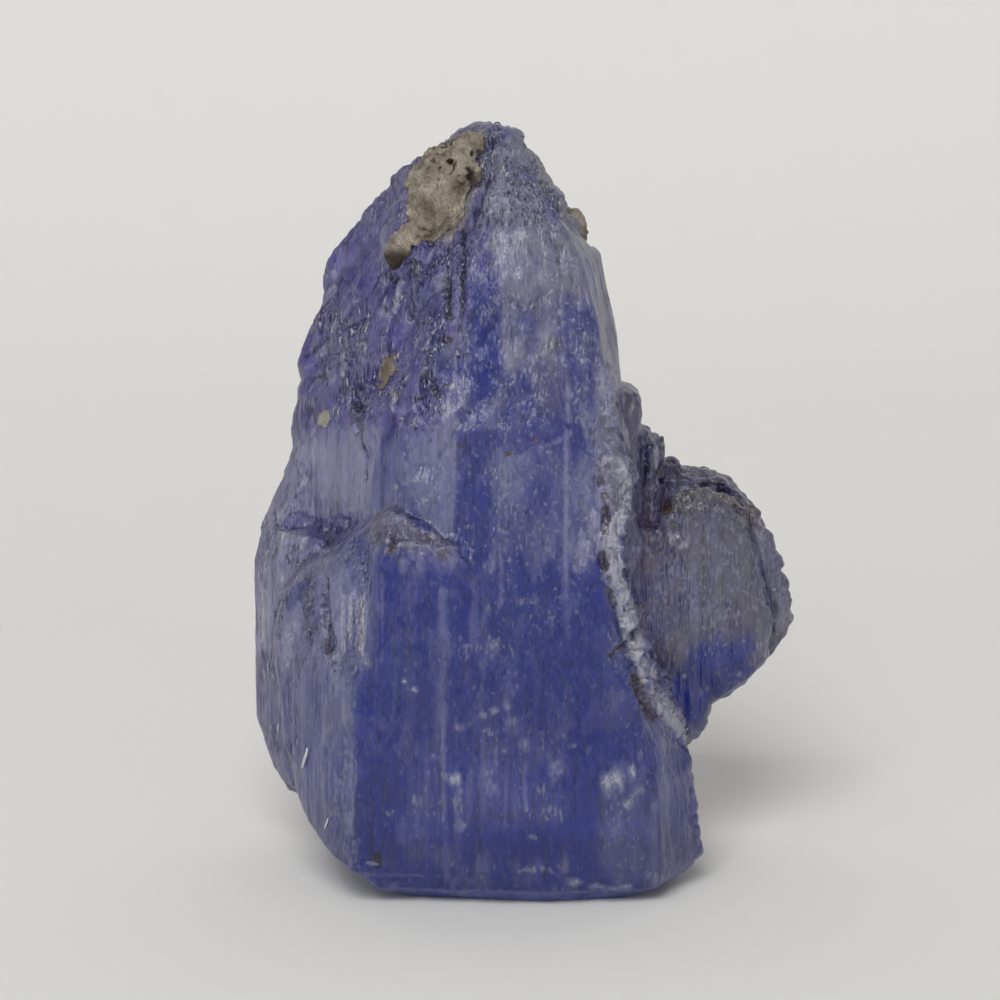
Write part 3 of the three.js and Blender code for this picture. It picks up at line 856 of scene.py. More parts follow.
SPIRE_MARKS = (
    *clouds(
        (516, 262, 0.42, PALE, 0.45, 1.5), (545, 262, 0.22, PALE, 0.6, 1.8), (543, 280, 0.18, PALE, 0.7, 1.4),
        (508, 318, 0.22, PALE, 0.5, 1.8), (508, 356, 0.24, PALE, 0.65, 1.6), (556, 318, 0.2, PALE, 0.45, 2.2),
        (549, 335, 0.18, PALE, 0.35, 2.4), (594, 300, 0.2, PALE, 0.45, 1.8), (601, 350, 0.12, PALE, 0.55, 4.0),
        (582, 270, 0.4, HAZE, 0.5, 1.4), (590, 240, 0.45, HAZE, 0.5, 1.4), (532, 350, 0.22, DEEP, 0.7, 1.6),
        (525, 322, 0.35, DEEP, 0.4, 1.0), (575, 335, 0.4, BODY, 0.4, 1.8), (548, 385, 0.5, SMOKE, 0.4, 1.8),
        (555, 345, 0.2, SMOKE, 0.7, 1.4), (499, 395, 0.3, SMOKE, 0.45, 1.6), (496, 400, 0.18, PALE, 0.4, 2.4),
        (449, 415, 0.18, PALE, 0.9, 1.0), (455, 424, 0.22, PALE, 0.7, 0.8), (488, 428, 0.14, PALE, 0.7, 0.9),
        (493, 418, 0.2, PALE, 0.5, 1.8), (485, 520, 0.4, DEEP, 0.7, 2.4), (505, 470, 0.3, PALE, 0.5, 1.8),
        (525, 455, 0.2, PALE, 0.5, 1.2), (522, 487, 0.24, PALE, 0.35, 1.4), (545, 495, 0.5, DEEP, 0.4, 1.4),
        (585, 425, 0.22, PALE, 0.75, 2.0), (572, 420, 0.16, DEEP, 0.5, 2.4), (552, 425, 0.3, BODY, 0.5, 1.4),
        (605, 392, 0.16, FROST_AND_GLINT, 0.8, 2.2), (606, 420, 0.2, PALE, 0.7, 2.6), (598, 450, 0.22, PALE, 0.5, 1.6),
        (600, 470, 0.2, SMOKE, 0.5, 1.8), (590, 500, 0.35, PALE, 0.4, 2.0), (594, 535, 0.22, PALE, 0.5, 2.2),
        (583, 555, 0.28, PALE, 0.5, 1.6),
    ),
    *streaks((568, 375, 420, 0.07, PALE, 0.4), (566, 435, 575, 0.08, PALE, 0.45)),
    line(((519, 458), (530, 449), (545, 446), (560, 440), (571, 433)), 0.06, PALE, 0.35),
    line(((520, 452), (534, 443), (548, 440), (562, 436)), 0.1, DEEP, 0.6),
    *specks(
        (534, 309, 0.08, BROWN, 1.0), (549, 346, 0.07, BROWN, 1.0), (558, 345, 0.07, BROWN, 0.8),
        (559, 260, 0.09, SMOKE, 1.8), (492, 302, 0.08, BROWN, 1.8), (534, 440, 0.11, BROWN, 1.0),
        (509, 454, 0.11, BROWN, 0.8), (460, 445, 0.11, BROWN, 1.0), (454, 442, 0.07, SMOKE, 0.7),
        (522, 476, 0.06, PLUM, 0.9), (560, 247, 0.05, PLUM, 1.4), (494, 293, 0.05, FROST_AND_GLINT, 1.0),
        (487, 283, 0.04, FROST_AND_GLINT, 1.6), (524, 369, 0.08, PALE, 0.6), (567, 370, 0.07, PALE, 0.9),
        (577, 302, 0.05, PALE, 0.6),
    ),
    Mark(((611, 332), (613, 350), (614, 368)), 0.2, SMOKE, 0.7, tall=1.6),
    line(((607, 369), (614, 367), (619, 372)), 0.05, PALE, 0.7, 0.05),
)

FRONT_MARKS = (
    *streaks(
        (409, 570, 700, 0.14, BODY, 0.6), (411, 690, 860, 0.14, BODY, 0.6), (442, 590, 720, 0.12, LAVENDER, 0.45),
        (443, 720, 820, 0.06, PALE, 0.5), (436, 640, 800, 0.2, BODY, 0.6), (462, 560, 700, 0.22, NAVY, 0.6),
        (475, 575, 640, 0.12, LAVENDER, 0.35), (501, 560, 602, 0.06, LAVENDER, 0.7),
        (565, 580, 870, 0.11, LAVENDER, 0.75), (561, 600, 880, 0.06, LAVENDER, 0.4),
        (570, 730, 860, 0.1, NAVY, 0.7), (526, 740, 810, 0.05, LAVENDER, 0.6), (596, 560, 700, 0.3, DEEP, 0.5),
        (652, 730, 880, 0.2, HAZE, 0.7), (661, 740, 880, 0.1, PALE, 0.6), (655, 800, 880, 0.1, PALE, 0.35),
        (676, 740, 860, 0.3, BODY, 0.7), (688, 770, 860, 0.2, VIOLET, 0.5), (383, 560, 660, 0.3, NAVY, 0.5),
        (366, 690, 850, 0.3, NAVY, 0.5), (390, 700, 860, 0.2, NAVY, 0.4), (356, 680, 860, 0.05, LAVENDER, 0.6),
        (382, 575, 660, 0.05, LAVENDER, 0.5),
    ),
    *clouds(
        (402, 565, 0.12, LAVENDER, 0.7, 1.8), (417, 571, 0.1, LAVENDER, 0.6, 1.4),
        (432, 584, 0.09, PALE, 0.7, 1.6), (491, 566, 0.18, PALE, 0.6, 1.6), (483, 580, 0.4, BODY, 0.5, 1.0),
        (495, 646, 0.18, FROST_AND_GLINT, 0.95, 1.0), (488, 645, 0.34, HAZE, 0.7, 1.0), (512, 655, 0.18, HAZE, 0.6, 1.8),
        (504, 660, 0.08, PALE, 0.8, 1.0), (464, 650, 0.2, HAZE, 0.5, 1.6), (466, 668, 0.12, PLUM, 0.4, 2.0),
        (520, 602, 0.3, HAZE, 0.55, 0.35), (533, 600, 0.16, PALE, 0.4, 0.5), (550, 617, 0.24, HAZE, 0.4, 1.0),
        (488, 608, 0.08, PALE, 0.6, 1.4), (517, 690, 0.24, HAZE, 0.6, 2.0), (460, 727, 0.14, PALE, 0.75, 0.9),
        (494, 710, 0.1, PALE, 0.9, 1.0), (483, 714, 0.09, PALE, 0.7, 0.8), (507, 705, 0.1, PALE, 0.7, 1.3),
        (512, 722, 0.16, PALE, 0.55, 0.6), (490, 733, 0.18, HAZE, 0.6, 0.8), (523, 745, 0.12, PALE, 0.6, 1.4),
        (504, 751, 0.07, PALE, 0.8, 1.2), (432, 757, 0.2, PALE, 0.6, 0.45),
    ),
    Mark(((474, 838), (510, 842), (552, 846)), 0.5, NAVY, 0.85, soft=1.2, ragged=0.8),
    *streaks((584, 716, 866, 0.42, NAVY, 0.85)),
    Mark(((533, 778), (548, 770), (556, 762)), 0.22, NAVY, 0.7, soft=1.0, ragged=0.8),
    *streaks((424, 590, 760, 0.28, NAVY, 0.5)),
    Mark(((500, 640), (540, 690)), 0.6, DEEP, 0.5, soft=1.2, ragged=0.8),
    *clouds(
        (453, 779, 0.2, FROST_AND_GLINT, 0.95, 0.8), (445, 776, 0.12, PALE, 0.6, 0.8), (458, 800, 0.22, HAZE, 0.6, 1.4),
        (461, 826, 0.16, PALE, 0.5, 1.0), (493, 789, 0.18, PALE, 0.6, 1.4), (489, 775, 0.16, HAZE, 0.6, 1.4),
        (415, 801, 0.14, HAZE, 0.7, 1.2), (390, 813, 0.14, HAZE, 0.5, 0.6), (515, 815, 0.6, SMOKE, 0.45, 0.7),
        (548, 812, 0.4, HAZE, 0.6, 0.7), (556, 768, 0.26, PALE, 0.55, 1.0), (555, 764, 0.07, FROST_AND_GLINT, 0.8, 1.0),
        (574, 745, 0.18, PALE, 0.6, 0.5), (588, 750, 0.1, PALE, 0.6, 1.4), (543, 792, 0.22, HAZE, 0.5, 1.2),
        (533, 836, 0.1, PALE, 0.8, 0.8), (617, 780, 0.22, FROST_AND_GLINT, 0.95, 1.1), (606, 783, 0.16, FROST_AND_GLINT, 0.9, 1.2),
        (622, 775, 0.3, PALE, 0.6, 1.2), (633, 772, 0.08, FROST_AND_GLINT, 0.9, 2.6), (638, 791, 0.16, PALE, 0.7, 1.0),
        (628, 803, 0.13, FROST_AND_GLINT, 0.7, 1.4), (608, 792, 0.16, PALE, 0.7, 1.2), (620, 820, 0.45, HAZE, 0.3, 1.4),
        (612, 830, 0.1, PALE, 0.5, 2.0), (636, 842, 0.2, BODY, 0.6, 1.4), (598, 700, 0.4, BODY, 0.45, 1.4),
        (600, 740, 0.5, DEEP, 0.6, 1.2), (548, 660, 0.6, DEEP, 0.6, 1.2), (580, 640, 0.6, DEEP, 0.5, 1.2),
        (364, 661, 0.22, PALE, 0.9, 1.0), (349, 817, 0.13, PALE, 0.8, 1.4), (352, 831, 0.08, PALE, 0.7, 1.4),
        (387, 860, 0.2, BODY, 0.6, 0.6),
    ),
    *specks(
        (404, 681, 0.07, FROST_AND_GLINT, 1.4), (415, 689, 0.06, FROST_AND_GLINT, 1.6), (405, 681, 0.05, FROST_AND_GLINT, 1.2),
        (589, 628, 0.04, PALE, 1.4), (378, 859, 0.12, INK, 2.0, -0.05), (662, 767, 0.06, FROST_AND_GLINT, 1.6),
        (668, 742, 0.05, FROST_AND_GLINT, 2.0),
    ),
    line(((366, 862), (376, 864)), 0.04, PALE, 0.7),
    Mark(((522, 871), (546, 868), (565, 878), (590, 885), (615, 887), (630, 886)), 0.08, PALE, 0.6,
         ragged=1.2, lift=0.03, grain=0.03, frost=0.4),
    cloud((575, 882), 0.2, FROST_AND_GLINT, 0.6, 0.7, grain=0.05),
)

BLOCK_MARKS = (
    Mark(((378, 534), (394, 531), (410, 539)), 0.4, SMOKE, 0.8, ragged=0.9, grain=0.06, frost=0.25, soot=0.12),
    Mark(((372, 528), (392, 514), (410, 520), (428, 538), (444, 549)), 0.34, SMOKE, 0.75,
         ragged=0.5, grain=0.1, frost=0.4),
    Mark(((386, 520), (398, 518)), 0.2, PALE, 0.45, ragged=0.7, grain=0.06, frost=0.4),
    Mark(((399, 545), (415, 543), (436, 550), (455, 549)), 0.1, PALE, 0.6, ragged=0.7, lift=0.06, frost=0.4),
    line(((388, 552), (393, 545), (396, 538)), 0.093, BROWN, 0.95, -0.03),
    line(((424, 535), (432, 541)), 0.074, BROWN, 0.9, -0.025),
    Mark(((452, 547), (461, 556), (470, 572)), 0.28, DEEP, 0.5, soft=1.2, ragged=0.3, lift=0.1),
    line(((397, 520), (405, 528)), 0.062, BROWN, 0.6, -0.025),
    line(((397, 512), (384, 510), (374, 516)), 0.062, PLUM, 0.8, -0.03),
    line(((412, 514), (420, 524), (428, 530)), 0.16, NAVY, 0.8),
    *specks(
        (406, 544, 0.07, FROST_AND_GLINT, 1.2, 0.05), (388, 541, 0.07, FROST_AND_GLINT, 1.4, 0.05),
        (387, 553, 0.05, FROST_AND_GLINT, 1.0, 0.04),
    ),
    Mark(((276, 531), (284, 524), (300, 522), (318, 524), (340, 526), (366, 521)), 0.26, VIOLET, 0.8,
         ragged=0.7, lift=-0.1, grain=0.1),
    Mark(((318, 522), (330, 530), (350, 524)), 0.22, PLUM, 0.6, ragged=0.8, grain=0.12),
    line(((275, 512), (277, 524), (273, 538)), 0.056, INK, 0.9, -0.06),
    line(((294, 545), (292, 562)), 0.037, PLUM, 0.7, -0.025),
    line(((310, 553), (300, 568), (285, 588), (280, 600)), 0.056, SMOKE, 0.9, -0.04),
    line(((279, 600), (274, 625), (272, 655)), 0.05, SMOKE, 0.8, -0.03),
    Mark(((319, 549), (326, 552), (334, 548)), 0.13, PALE, 0.6, ragged=0.9, grain=0.08, frost=0.5),
    Mark(((330, 540), (334, 548)), 0.14, PLUM, 0.8, ragged=0.8, grain=0.06),
    Mark(((306, 538), (303, 546)), 0.13, FROST_AND_GLINT, 0.7, tall=1.4, ragged=0.4),
    line(((345, 566), (352, 553), (360, 545)), 0.043, PLUM, 0.8, -0.03),
    Mark(((309, 576), (311, 600), (310, 616), (312, 634)), 0.2, DUSK, 0.7, ragged=0.9, grain=0.14, frost=0.8,
         soot=0.15, lift=0.03),
    Mark(((288, 596), (283, 612), (280, 634)), 0.16, SMOKE, 0.7, ragged=0.9, grain=0.12, frost=0.7, soot=0.15),
    line(((312, 588), (314, 602)), 0.043, PLUM, 0.95, -0.04),
    line(((309, 578), (309, 584)), 0.031, PLUM, 0.9, -0.03),
    Mark(((306, 628), (312, 632), (318, 628)), 0.13, PLUM, 0.7, ragged=0.9, grain=0.08),
    *specks((310, 606, 0.06, FROST_AND_GLINT, 1.6, 0.05), (310, 617, 0.06, FROST_AND_GLINT, 1.2, 0.05)),
    Mark(((325, 588), (326, 610), (330, 642)), 0.19, PLUM, 0.9, tall=1.6, ragged=0.4, lift=-0.22),
    Mark(((324, 600), (327, 618)), 0.07, IRIS, 0.8, tall=1.8, ragged=0.3),
    line(((324, 604), (326, 620)), 0.08, NAVY, 0.9, -0.05),
    line(((323, 598), (318, 608)), 0.05, PALE, 0.6, 0.04),
    Mark(((326, 644), (330, 652)), 0.14, BROWN, 0.85, ragged=0.6, lift=-0.04),
    line(((327, 580), (333, 564)), 0.05, PALE, 0.6, 0.04),
    Mark(((291, 604), (297, 590), (302, 588)), 0.22, DEEP, 0.65, ragged=0.3),
    Mark(((284, 605), (283, 618)), 0.11, PALE, 0.6, ragged=0.9, grain=0.06, frost=0.4),
    *specks((283, 618, 0.07, BROWN, 1.2)),
    Mark(((292, 634), (288, 650)), 0.3, PALE, 0.55, tall=1.4, ragged=0.9, grain=0.06, frost=0.4),
    line(((281, 666), (284, 668), (289, 664)), 0.06, FROST_AND_GLINT, 0.8, 0.03),
    Mark(((274, 640), (274, 656)), 0.12, SMOKE, 0.7, ragged=0.5),
    Mark(((352, 600), (350, 625)), 0.2, PALE, 0.8, tall=1.6, ragged=0.9, frost=0.3),
    Mark(((365, 605), (361, 640)), 0.2, PALE, 0.7, tall=1.6, ragged=0.9, frost=0.3),
    Mark(((339, 580), (338, 640), (335, 690)), 0.22, PALE, 0.5, tall=1.5, ragged=0.5),
    line(((346, 605), (347, 624)), 0.025, SMOKE, 0.9, -0.02),
    line(((344, 632), (345, 633)), 0.037, BROWN, 0.9),
    line(((376, 604), (377, 618)), 0.031, PLUM, 0.6, -0.015),
    line(((367, 640), (369, 652)), 0.043, PLUM, 0.6),
    *streaks(
        (313, 634, 648, 0.07, DEEP, 0.8), (302, 636, 652, 0.04, INK, 0.7), (315, 646, 664, 0.08, PALE, 0.6),
        (321, 640, 680, 0.1, PALE, 0.45), (326, 660, 740, 0.12, PALE, 0.45), (333, 690, 760, 0.16, HAZE, 0.5),
        (345, 680, 720, 0.12, PALE, 0.45),
    ),
    *clouds((300, 690, 0.7, LAVENDER, 0.5, 1.8), (262, 560, 0.2, BODY, 0.5, 5.0)),
    *streaks(
        (264, 555, 640, 0.08, FROST_AND_GLINT, 0.85), (260, 580, 660, 0.07, PALE, 0.8), (269, 545, 634, 0.06, FROST_AND_GLINT, 0.6),
        (275, 540, 600, 0.05, PALE, 0.8), (283, 536, 580, 0.08, FROST_AND_GLINT, 0.85), (288, 536, 570, 0.07, PALE, 0.8),
        (272, 550, 640, 0.07, BODY, 0.8), (279, 540, 590, 0.07, BODY, 0.8), (344, 596, 650, 0.08, FROST_AND_GLINT, 0.85),
        (351, 598, 640, 0.08, FROST_AND_GLINT, 0.85), (357, 596, 650, 0.05, PALE, 0.8), (363, 600, 655, 0.08, FROST_AND_GLINT, 0.85),
        (348, 600, 650, 0.07, BODY, 0.8), (354, 600, 650, 0.07, BODY, 0.8), (360, 600, 650, 0.04, SMOKE, 0.8),
        (281, 530, 600, 0.1, PALE, 0.5), (291, 524, 570, 0.05, PALE, 0.5), (264, 685, 695, 0.04, FROST_AND_GLINT, 0.7),
        (279, 690, 710, 0.04, FROST_AND_GLINT, 0.7), (290, 490, 520, 0.07, PALE, 0.5), (280, 496, 520, 0.05, PALE, 0.5),
    ),
)


def band(*path: Point2, reach: float = 0.3, tint: Tint = CHALK_AND_GLINT, strength: float = 0.9, lift: float = 0.12) -> Mark:
    """Make a stretch of the lumpy white seam that runs down the spire's right edge."""
    return Mark(path, reach, tint, strength, soft=0.4, ragged=0.6, lift=lift, grain=0.14, frost=0.35, deep=4.0)


def blot(*path: Point2, reach: float = 0.12, tint: Tint = BROWN) -> Mark:
    """Dirt in the white seam."""
    return Mark(path=path, reach=reach, tint=tint, strength=0.85, ragged=0.9, lift=-0.08, deep=4.0, soot=0.32)


BAND_MARKS = (
    band((604, 376), (609, 392), (611, 415), (612, 440), reach=0.24, tint=PALE, strength=0.5, lift=0.03),
    band((607, 424), (612, 445), (617, 462), reach=0.2, tint=ASH, strength=0.8, lift=0.06),
    band((608, 462), (617, 462), (622, 480), (624, 498), (620, 515), reach=0.26),
    band((609, 470), (612, 490), (612, 505), reach=0.26, tint=ASH, strength=0.8, lift=0.06),
    band((619, 468), (624, 484), (621, 502), reach=0.17, tint=BONE),
    band((618, 515), (613, 530), (612, 548), (613, 560), reach=0.27, strength=0.85),
    band((617, 516), (616, 534), (615, 548), reach=0.12, tint=BONE, strength=0.7),
    band((596, 518), (592, 535), (594, 552), reach=0.22, tint=PALE, strength=0.5, lift=0.0),
    band((585, 536), (582, 552), (580, 566), reach=0.2, tint=PALE, strength=0.35, lift=0.0),
    band((611, 560), (616, 580), (621, 600), (627, 618), reach=0.27, lift=0.18),
    band((617, 580), (622, 598), (627, 612), reach=0.17, tint=BONE, lift=0.16),
    band((627, 618), (633, 640), (640, 664), (649, 684), reach=0.3, lift=0.2),
    band((633, 640), (639, 660), (645, 678), reach=0.2, tint=BONE, lift=0.18),
    band((649, 686), (660, 700), (671, 718), (681, 738), reach=0.26, strength=0.8, lift=0.18),
    band((656, 694), (666, 708), (676, 728), reach=0.14, tint=BONE, strength=0.8),
    blot((604, 496), (606, 512), (603, 530), reach=0.12, tint=SMOKE),
    blot((604, 508), (608, 518), reach=0.15),
    blot((602, 556), (606, 566), reach=0.17),
    blot((611, 590), (614, 604), reach=0.13),
    blot((609, 574), (612, 586), reach=0.07),
    blot((611, 655), (618, 648), (626, 642), reach=0.085),
    blot((628, 626), (630, 636), reach=0.13),
    blot((636, 657), (637, 664), reach=0.08, tint=INK),
    blot((633, 676), (639, 688), (645, 696), reach=0.15),
    blot((642, 700), (647, 708), reach=0.12),
    blot((648, 712), (653, 718), reach=0.1),
    blot((600, 478), (600, 484), reach=0.09, tint=SMOKE),
    *clouds((688, 745, 0.3, HAZE, 0.5, 1.6), (600, 440, 0.3, HAZE, 0.5, 2.0)),
    # Painted highlights: the pale and white streaks at 624 and 631.5 down two columns beside the seam; the smoky
    # streak at 637 is painted shade in the groove after them.
    *streaks(
        (624, 396, 455, 0.06, PALE, 0.8), (631.5, 400, 474, 0.06, FROST_AND_GLINT, 0.8), (637, 400, 470, 0.1, SMOKE, 0.6),
        (616, 395, 440, 0.07, VIOLET, 0.5),
    ),
    *clouds((629, 392, 0.14, PALE, 0.7, 0.8)),
    Mark(((650, 440), (660, 445), (664, 470)), 0.5, DUSK, 0.8, tall=1.4, ragged=0.6),
    Mark(((655, 450), (656, 465)), 0.14, PALE, 0.9, soft=0.3, ragged=0.2),
    Mark(((656, 460), (656, 466)), 0.07, FROST_AND_GLINT, 0.9, soft=0.3),
    # Painted shade: dark streaks in the grooves at both sides of the dark column; the one at 661 is also cut in as
    # a groove.
    *streaks((646, 450, 486, 0.14, PLUM, 0.8), (661, 470, 508, 0.1, INK, 0.9)),
    line(((650, 432), (654, 441)), 0.05, FROST_AND_GLINT, 0.7, 0.04),
    line(((661, 470), (662, 490), (663, 510)), 0.12, INK, 0.9, -0.15),
    *streaks((640, 490, 560, 0.3, SMOKE, 0.7)),
)

LOBE_MARKS = (
    Mark(((766, 548), (773, 572), (779, 598)), 0.5, soft=1.4, ragged=0.2, lift=0.22),
    *clouds((712, 545, 0.9, SMOKE, 0.55, 1.0), (740, 575, 0.7, OLIVE, 0.6, 1.4)),
    Mark(((649, 500), (651, 530)), 0.45, SMOKE, 0.85, soft=1.4, ragged=0.3, lift=0.14, grain=0.06),
    *streaks((655, 466, 548, 0.16, PLUM, 0.8)),
    Mark(((676, 474), (690, 471), (710, 473), (730, 480), (746, 490), (757, 508), (763, 526)), 0.5, DUSK, 0.85,
         ragged=0.5),
    Mark(((684, 512), (700, 508), (724, 514), (742, 524)), 0.2, OLIVE, 0.8, ragged=0.6),
    Mark(((678, 506), (677, 496), (684, 491), (694, 492)), 0.12, PALE, 0.75, ragged=0.6, lift=0.1,
         grain=0.05, frost=0.5),
    Mark(((682, 503), (690, 500)), 0.14, INK, 0.9, ragged=0.4, lift=-0.2),
    Mark(((707, 487), (716, 483), (721, 492)), 0.22, INK, 0.7, ragged=0.5, lift=-0.18),
    Mark(((680, 506), (694, 502), (704, 494)), 0.09, PALE, 0.7, ragged=0.7, lift=0.08, grain=0.05, frost=0.5),
    Mark(((677, 506), (684, 497), (694, 494), (704, 497), (716, 498), (730, 503), (742, 509), (752, 518)), 0.2,
         DUST, 0.85, ragged=0.9, lift=0.08, grain=0.14, frost=0.5, deep=2.0),
    Mark(((759, 534), (765, 550), (770, 566)), 0.18, ASH, 0.8, ragged=0.7, lift=0.05, grain=0.07, frost=0.5),
    Mark(((772, 590), (778, 610), (776, 628)), 0.12, ASH, 0.6, ragged=0.9, lift=0.06, grain=0.08, frost=0.5),
    Mark(((706, 504), (725, 510), (745, 518), (752, 524)), 0.3, SMOKE, 0.55, ragged=0.8, grain=0.05, frost=0.4),
    line(((733, 502), (741, 506), (744, 500)), 0.08, PLUM, 0.8, -0.08),
    Mark(((668, 518), (672, 530), (674, 545), (678, 552)), 0.2, SMOKE, 0.7, ragged=1.0, grain=0.12, frost=0.3),
    Mark(((672, 540), (676, 550), (684, 544), (688, 545)), 0.09, FROST_AND_GLINT, 0.7, ragged=1.0, grain=0.08, frost=0.5),
    *specks(
        (667, 527, 0.08, PALE, 1.0, 0.05), (673, 519, 0.07, PALE, 1.0, 0.05), (696, 523, 0.07, FROST_AND_GLINT, 0.6, 0.03),
        (633, 549, 0.06, FROST_AND_GLINT, 2.0, 0.03), (713, 516, 0.05, PALE, 1.0, 0.03),
    ),
    *streaks(
        (715, 510, 570, 0.16, HAZE, 0.5), (709, 520, 600, 0.1, OLIVE, 0.5), (694, 513, 525, 0.07, BROWN, 0.5),
        (692, 600, 620, 0.05, PALE, 0.7), (767, 596, 612, 0.06, FROST_AND_GLINT, 0.8),
    ),
    *clouds((765, 540, 0.35, OLIVE, 0.7, 1.8), (760, 518, 0.2, PALE, 0.4, 1.0)),
    Mark(((756, 524), (764, 552), (770, 588), (777, 620)), 0.42, ASH, 0.75, soft=1.2, ragged=0.9, frost=0.15),
    *clouds(
        (784, 622, 0.35, ASH, 0.7, 1.2), (740, 615, 0.6, SMOKE, 0.5, 1.0), (700, 630, 0.5, OLIVE, 0.5, 1.0),
        (650, 600, 0.45, BODY, 0.5, 1.6), (668, 660, 0.4, SMOKE, 0.5, 1.8),
    ),
    *specks((684, 675, 0.08, FROST_AND_GLINT, 1.4, 0.02)),
    *streaks(
        (689, 640, 730, 0.07, INK, 0.7), (695, 600, 740, 0.06, HAZE, 0.5), (701, 690, 728, 0.06, PALE, 0.5),
        (702, 706, 726, 0.03, FROST_AND_GLINT, 0.8), (704, 710, 732, 0.05, INK, 0.7),
    ),
    line(((727, 681), (738, 680), (746, 681)), 0.04, FROST_AND_GLINT, 0.8, 0.03),
    line(((744, 679), (748, 672)), 0.04, FROST_AND_GLINT, 0.7, 0.03),
    *clouds((738, 674, 0.18, HAZE, 0.6, 0.8), (755, 660, 0.35, SMOKE, 0.6, 0.8)),
    *specks((741, 663, 0.08, PALE, 0.8, 0.03), (743, 641, 0.07, PALE, 1.0, 0.03)),
)


# ---------------------------------------------------------------- materials


def new_material(name: str) -> tuple[Material, NodeTree, bpy.types.Node, bpy.types.Node]:
    """Make a material with a Principled shader wired to its surface.

    Args:
        name: The material's name.

    Returns:
        The material, its node tree, its shader and its output node.
    """
    material = bpy.data.materials.new(name)
    material.use_nodes = True
    tree = material.node_tree
    tree.nodes.clear()
    shader = tree.nodes.new("ShaderNodeBsdfPrincipled")
    output = tree.nodes.new("ShaderNodeOutputMaterial")
    tree.links.new(shader.outputs["BSDF"], output.inputs["Surface"])
    return material, tree, shader, output


def new_group(name: str, inputs: dict[str, str], output: str) -> tuple["Weave", bpy.types.Node, Socket, Socket]:
    """Make a node group with named inputs and one number put out.

    Args:
        name: The group's name.
        inputs: The kind of each input socket, by the input's name.
        output: The output's name.

    Returns:
        A weave of the group, its input node, the socket to fill, and a point's place times the input "Lumps".
    """
    group = bpy.data.node_groups.new(name, "ShaderNodeTree")
    for label, kind in inputs.items():
        group.interface.new_socket(label, in_out="INPUT", socket_type=kind)
    group.interface.new_socket(output, in_out="OUTPUT", socket_type="NodeSocketFloat")
    weave = Weave(group)
    inside = group.nodes.new("NodeGroupInput")
    outside = group.nodes.new("NodeGroupOutput")
    place = group.nodes.new("ShaderNodeTexCoord").outputs["Object"]
    return weave, inside, outside.inputs[output], weave.vector("MULTIPLY", place, inside.outputs["Lumps"])


def grain_group() -> NodeTree:
    """Make the node group of noise at a place's true size.

    Returns:
        The group. Lumps is the number of lumps to the metre along x, y and z; it puts out noise from 0 to 1.
    """
    kinds = {"Lumps": "NodeSocketVector", "Detail": "NodeSocketFloat", "Contrast": "NodeSocketFloat"}
    weave, inside, result, place = new_group("grain", kinds, "Noise")
    pattern = weave.tree.nodes.new("ShaderNodeTexNoise")
    pattern.inputs["Scale"].default_value = 1.0
    weave.put(pattern.inputs["Vector"], place)
    weave.put(pattern.inputs["Detail"], inside.outputs["Detail"])
    offset = weave.math("SUBTRACT", pattern.outputs["Fac"], 0.5)
    stronger = weave.math("MULTIPLY_ADD", offset, inside.outputs["Contrast"], 0.5)
    stronger.node.use_clamp = True
    weave.put(result, stronger)
    return weave.tree


def facet_group() -> NodeTree:
    """Make the node group of small planes, each tilted its own way, as on etched crystal.

    Returns:
        The group. Lumps is the number of planes to the metre along x, y and z; it puts out a height, from about
        -0.4 to 0.4.
    """
    weave, _, result, place = new_group("facets", {"Lumps": "NodeSocketVector"}, "Height")
    cells = weave.tree.nodes.new("ShaderNodeTexVoronoi")
    cells.inputs["Scale"].default_value = 1.0
    weave.put(cells.inputs["Vector"], place)
    away = weave.vector("SUBTRACT", place, cells.outputs["Position"])
    tilt = weave.vector("SUBTRACT", cells.outputs["Color"], (0.5, 0.5, 0.5))
    weave.put(result, weave.vector("DOT_PRODUCT", away, tilt, output="Value"))
    return weave.tree


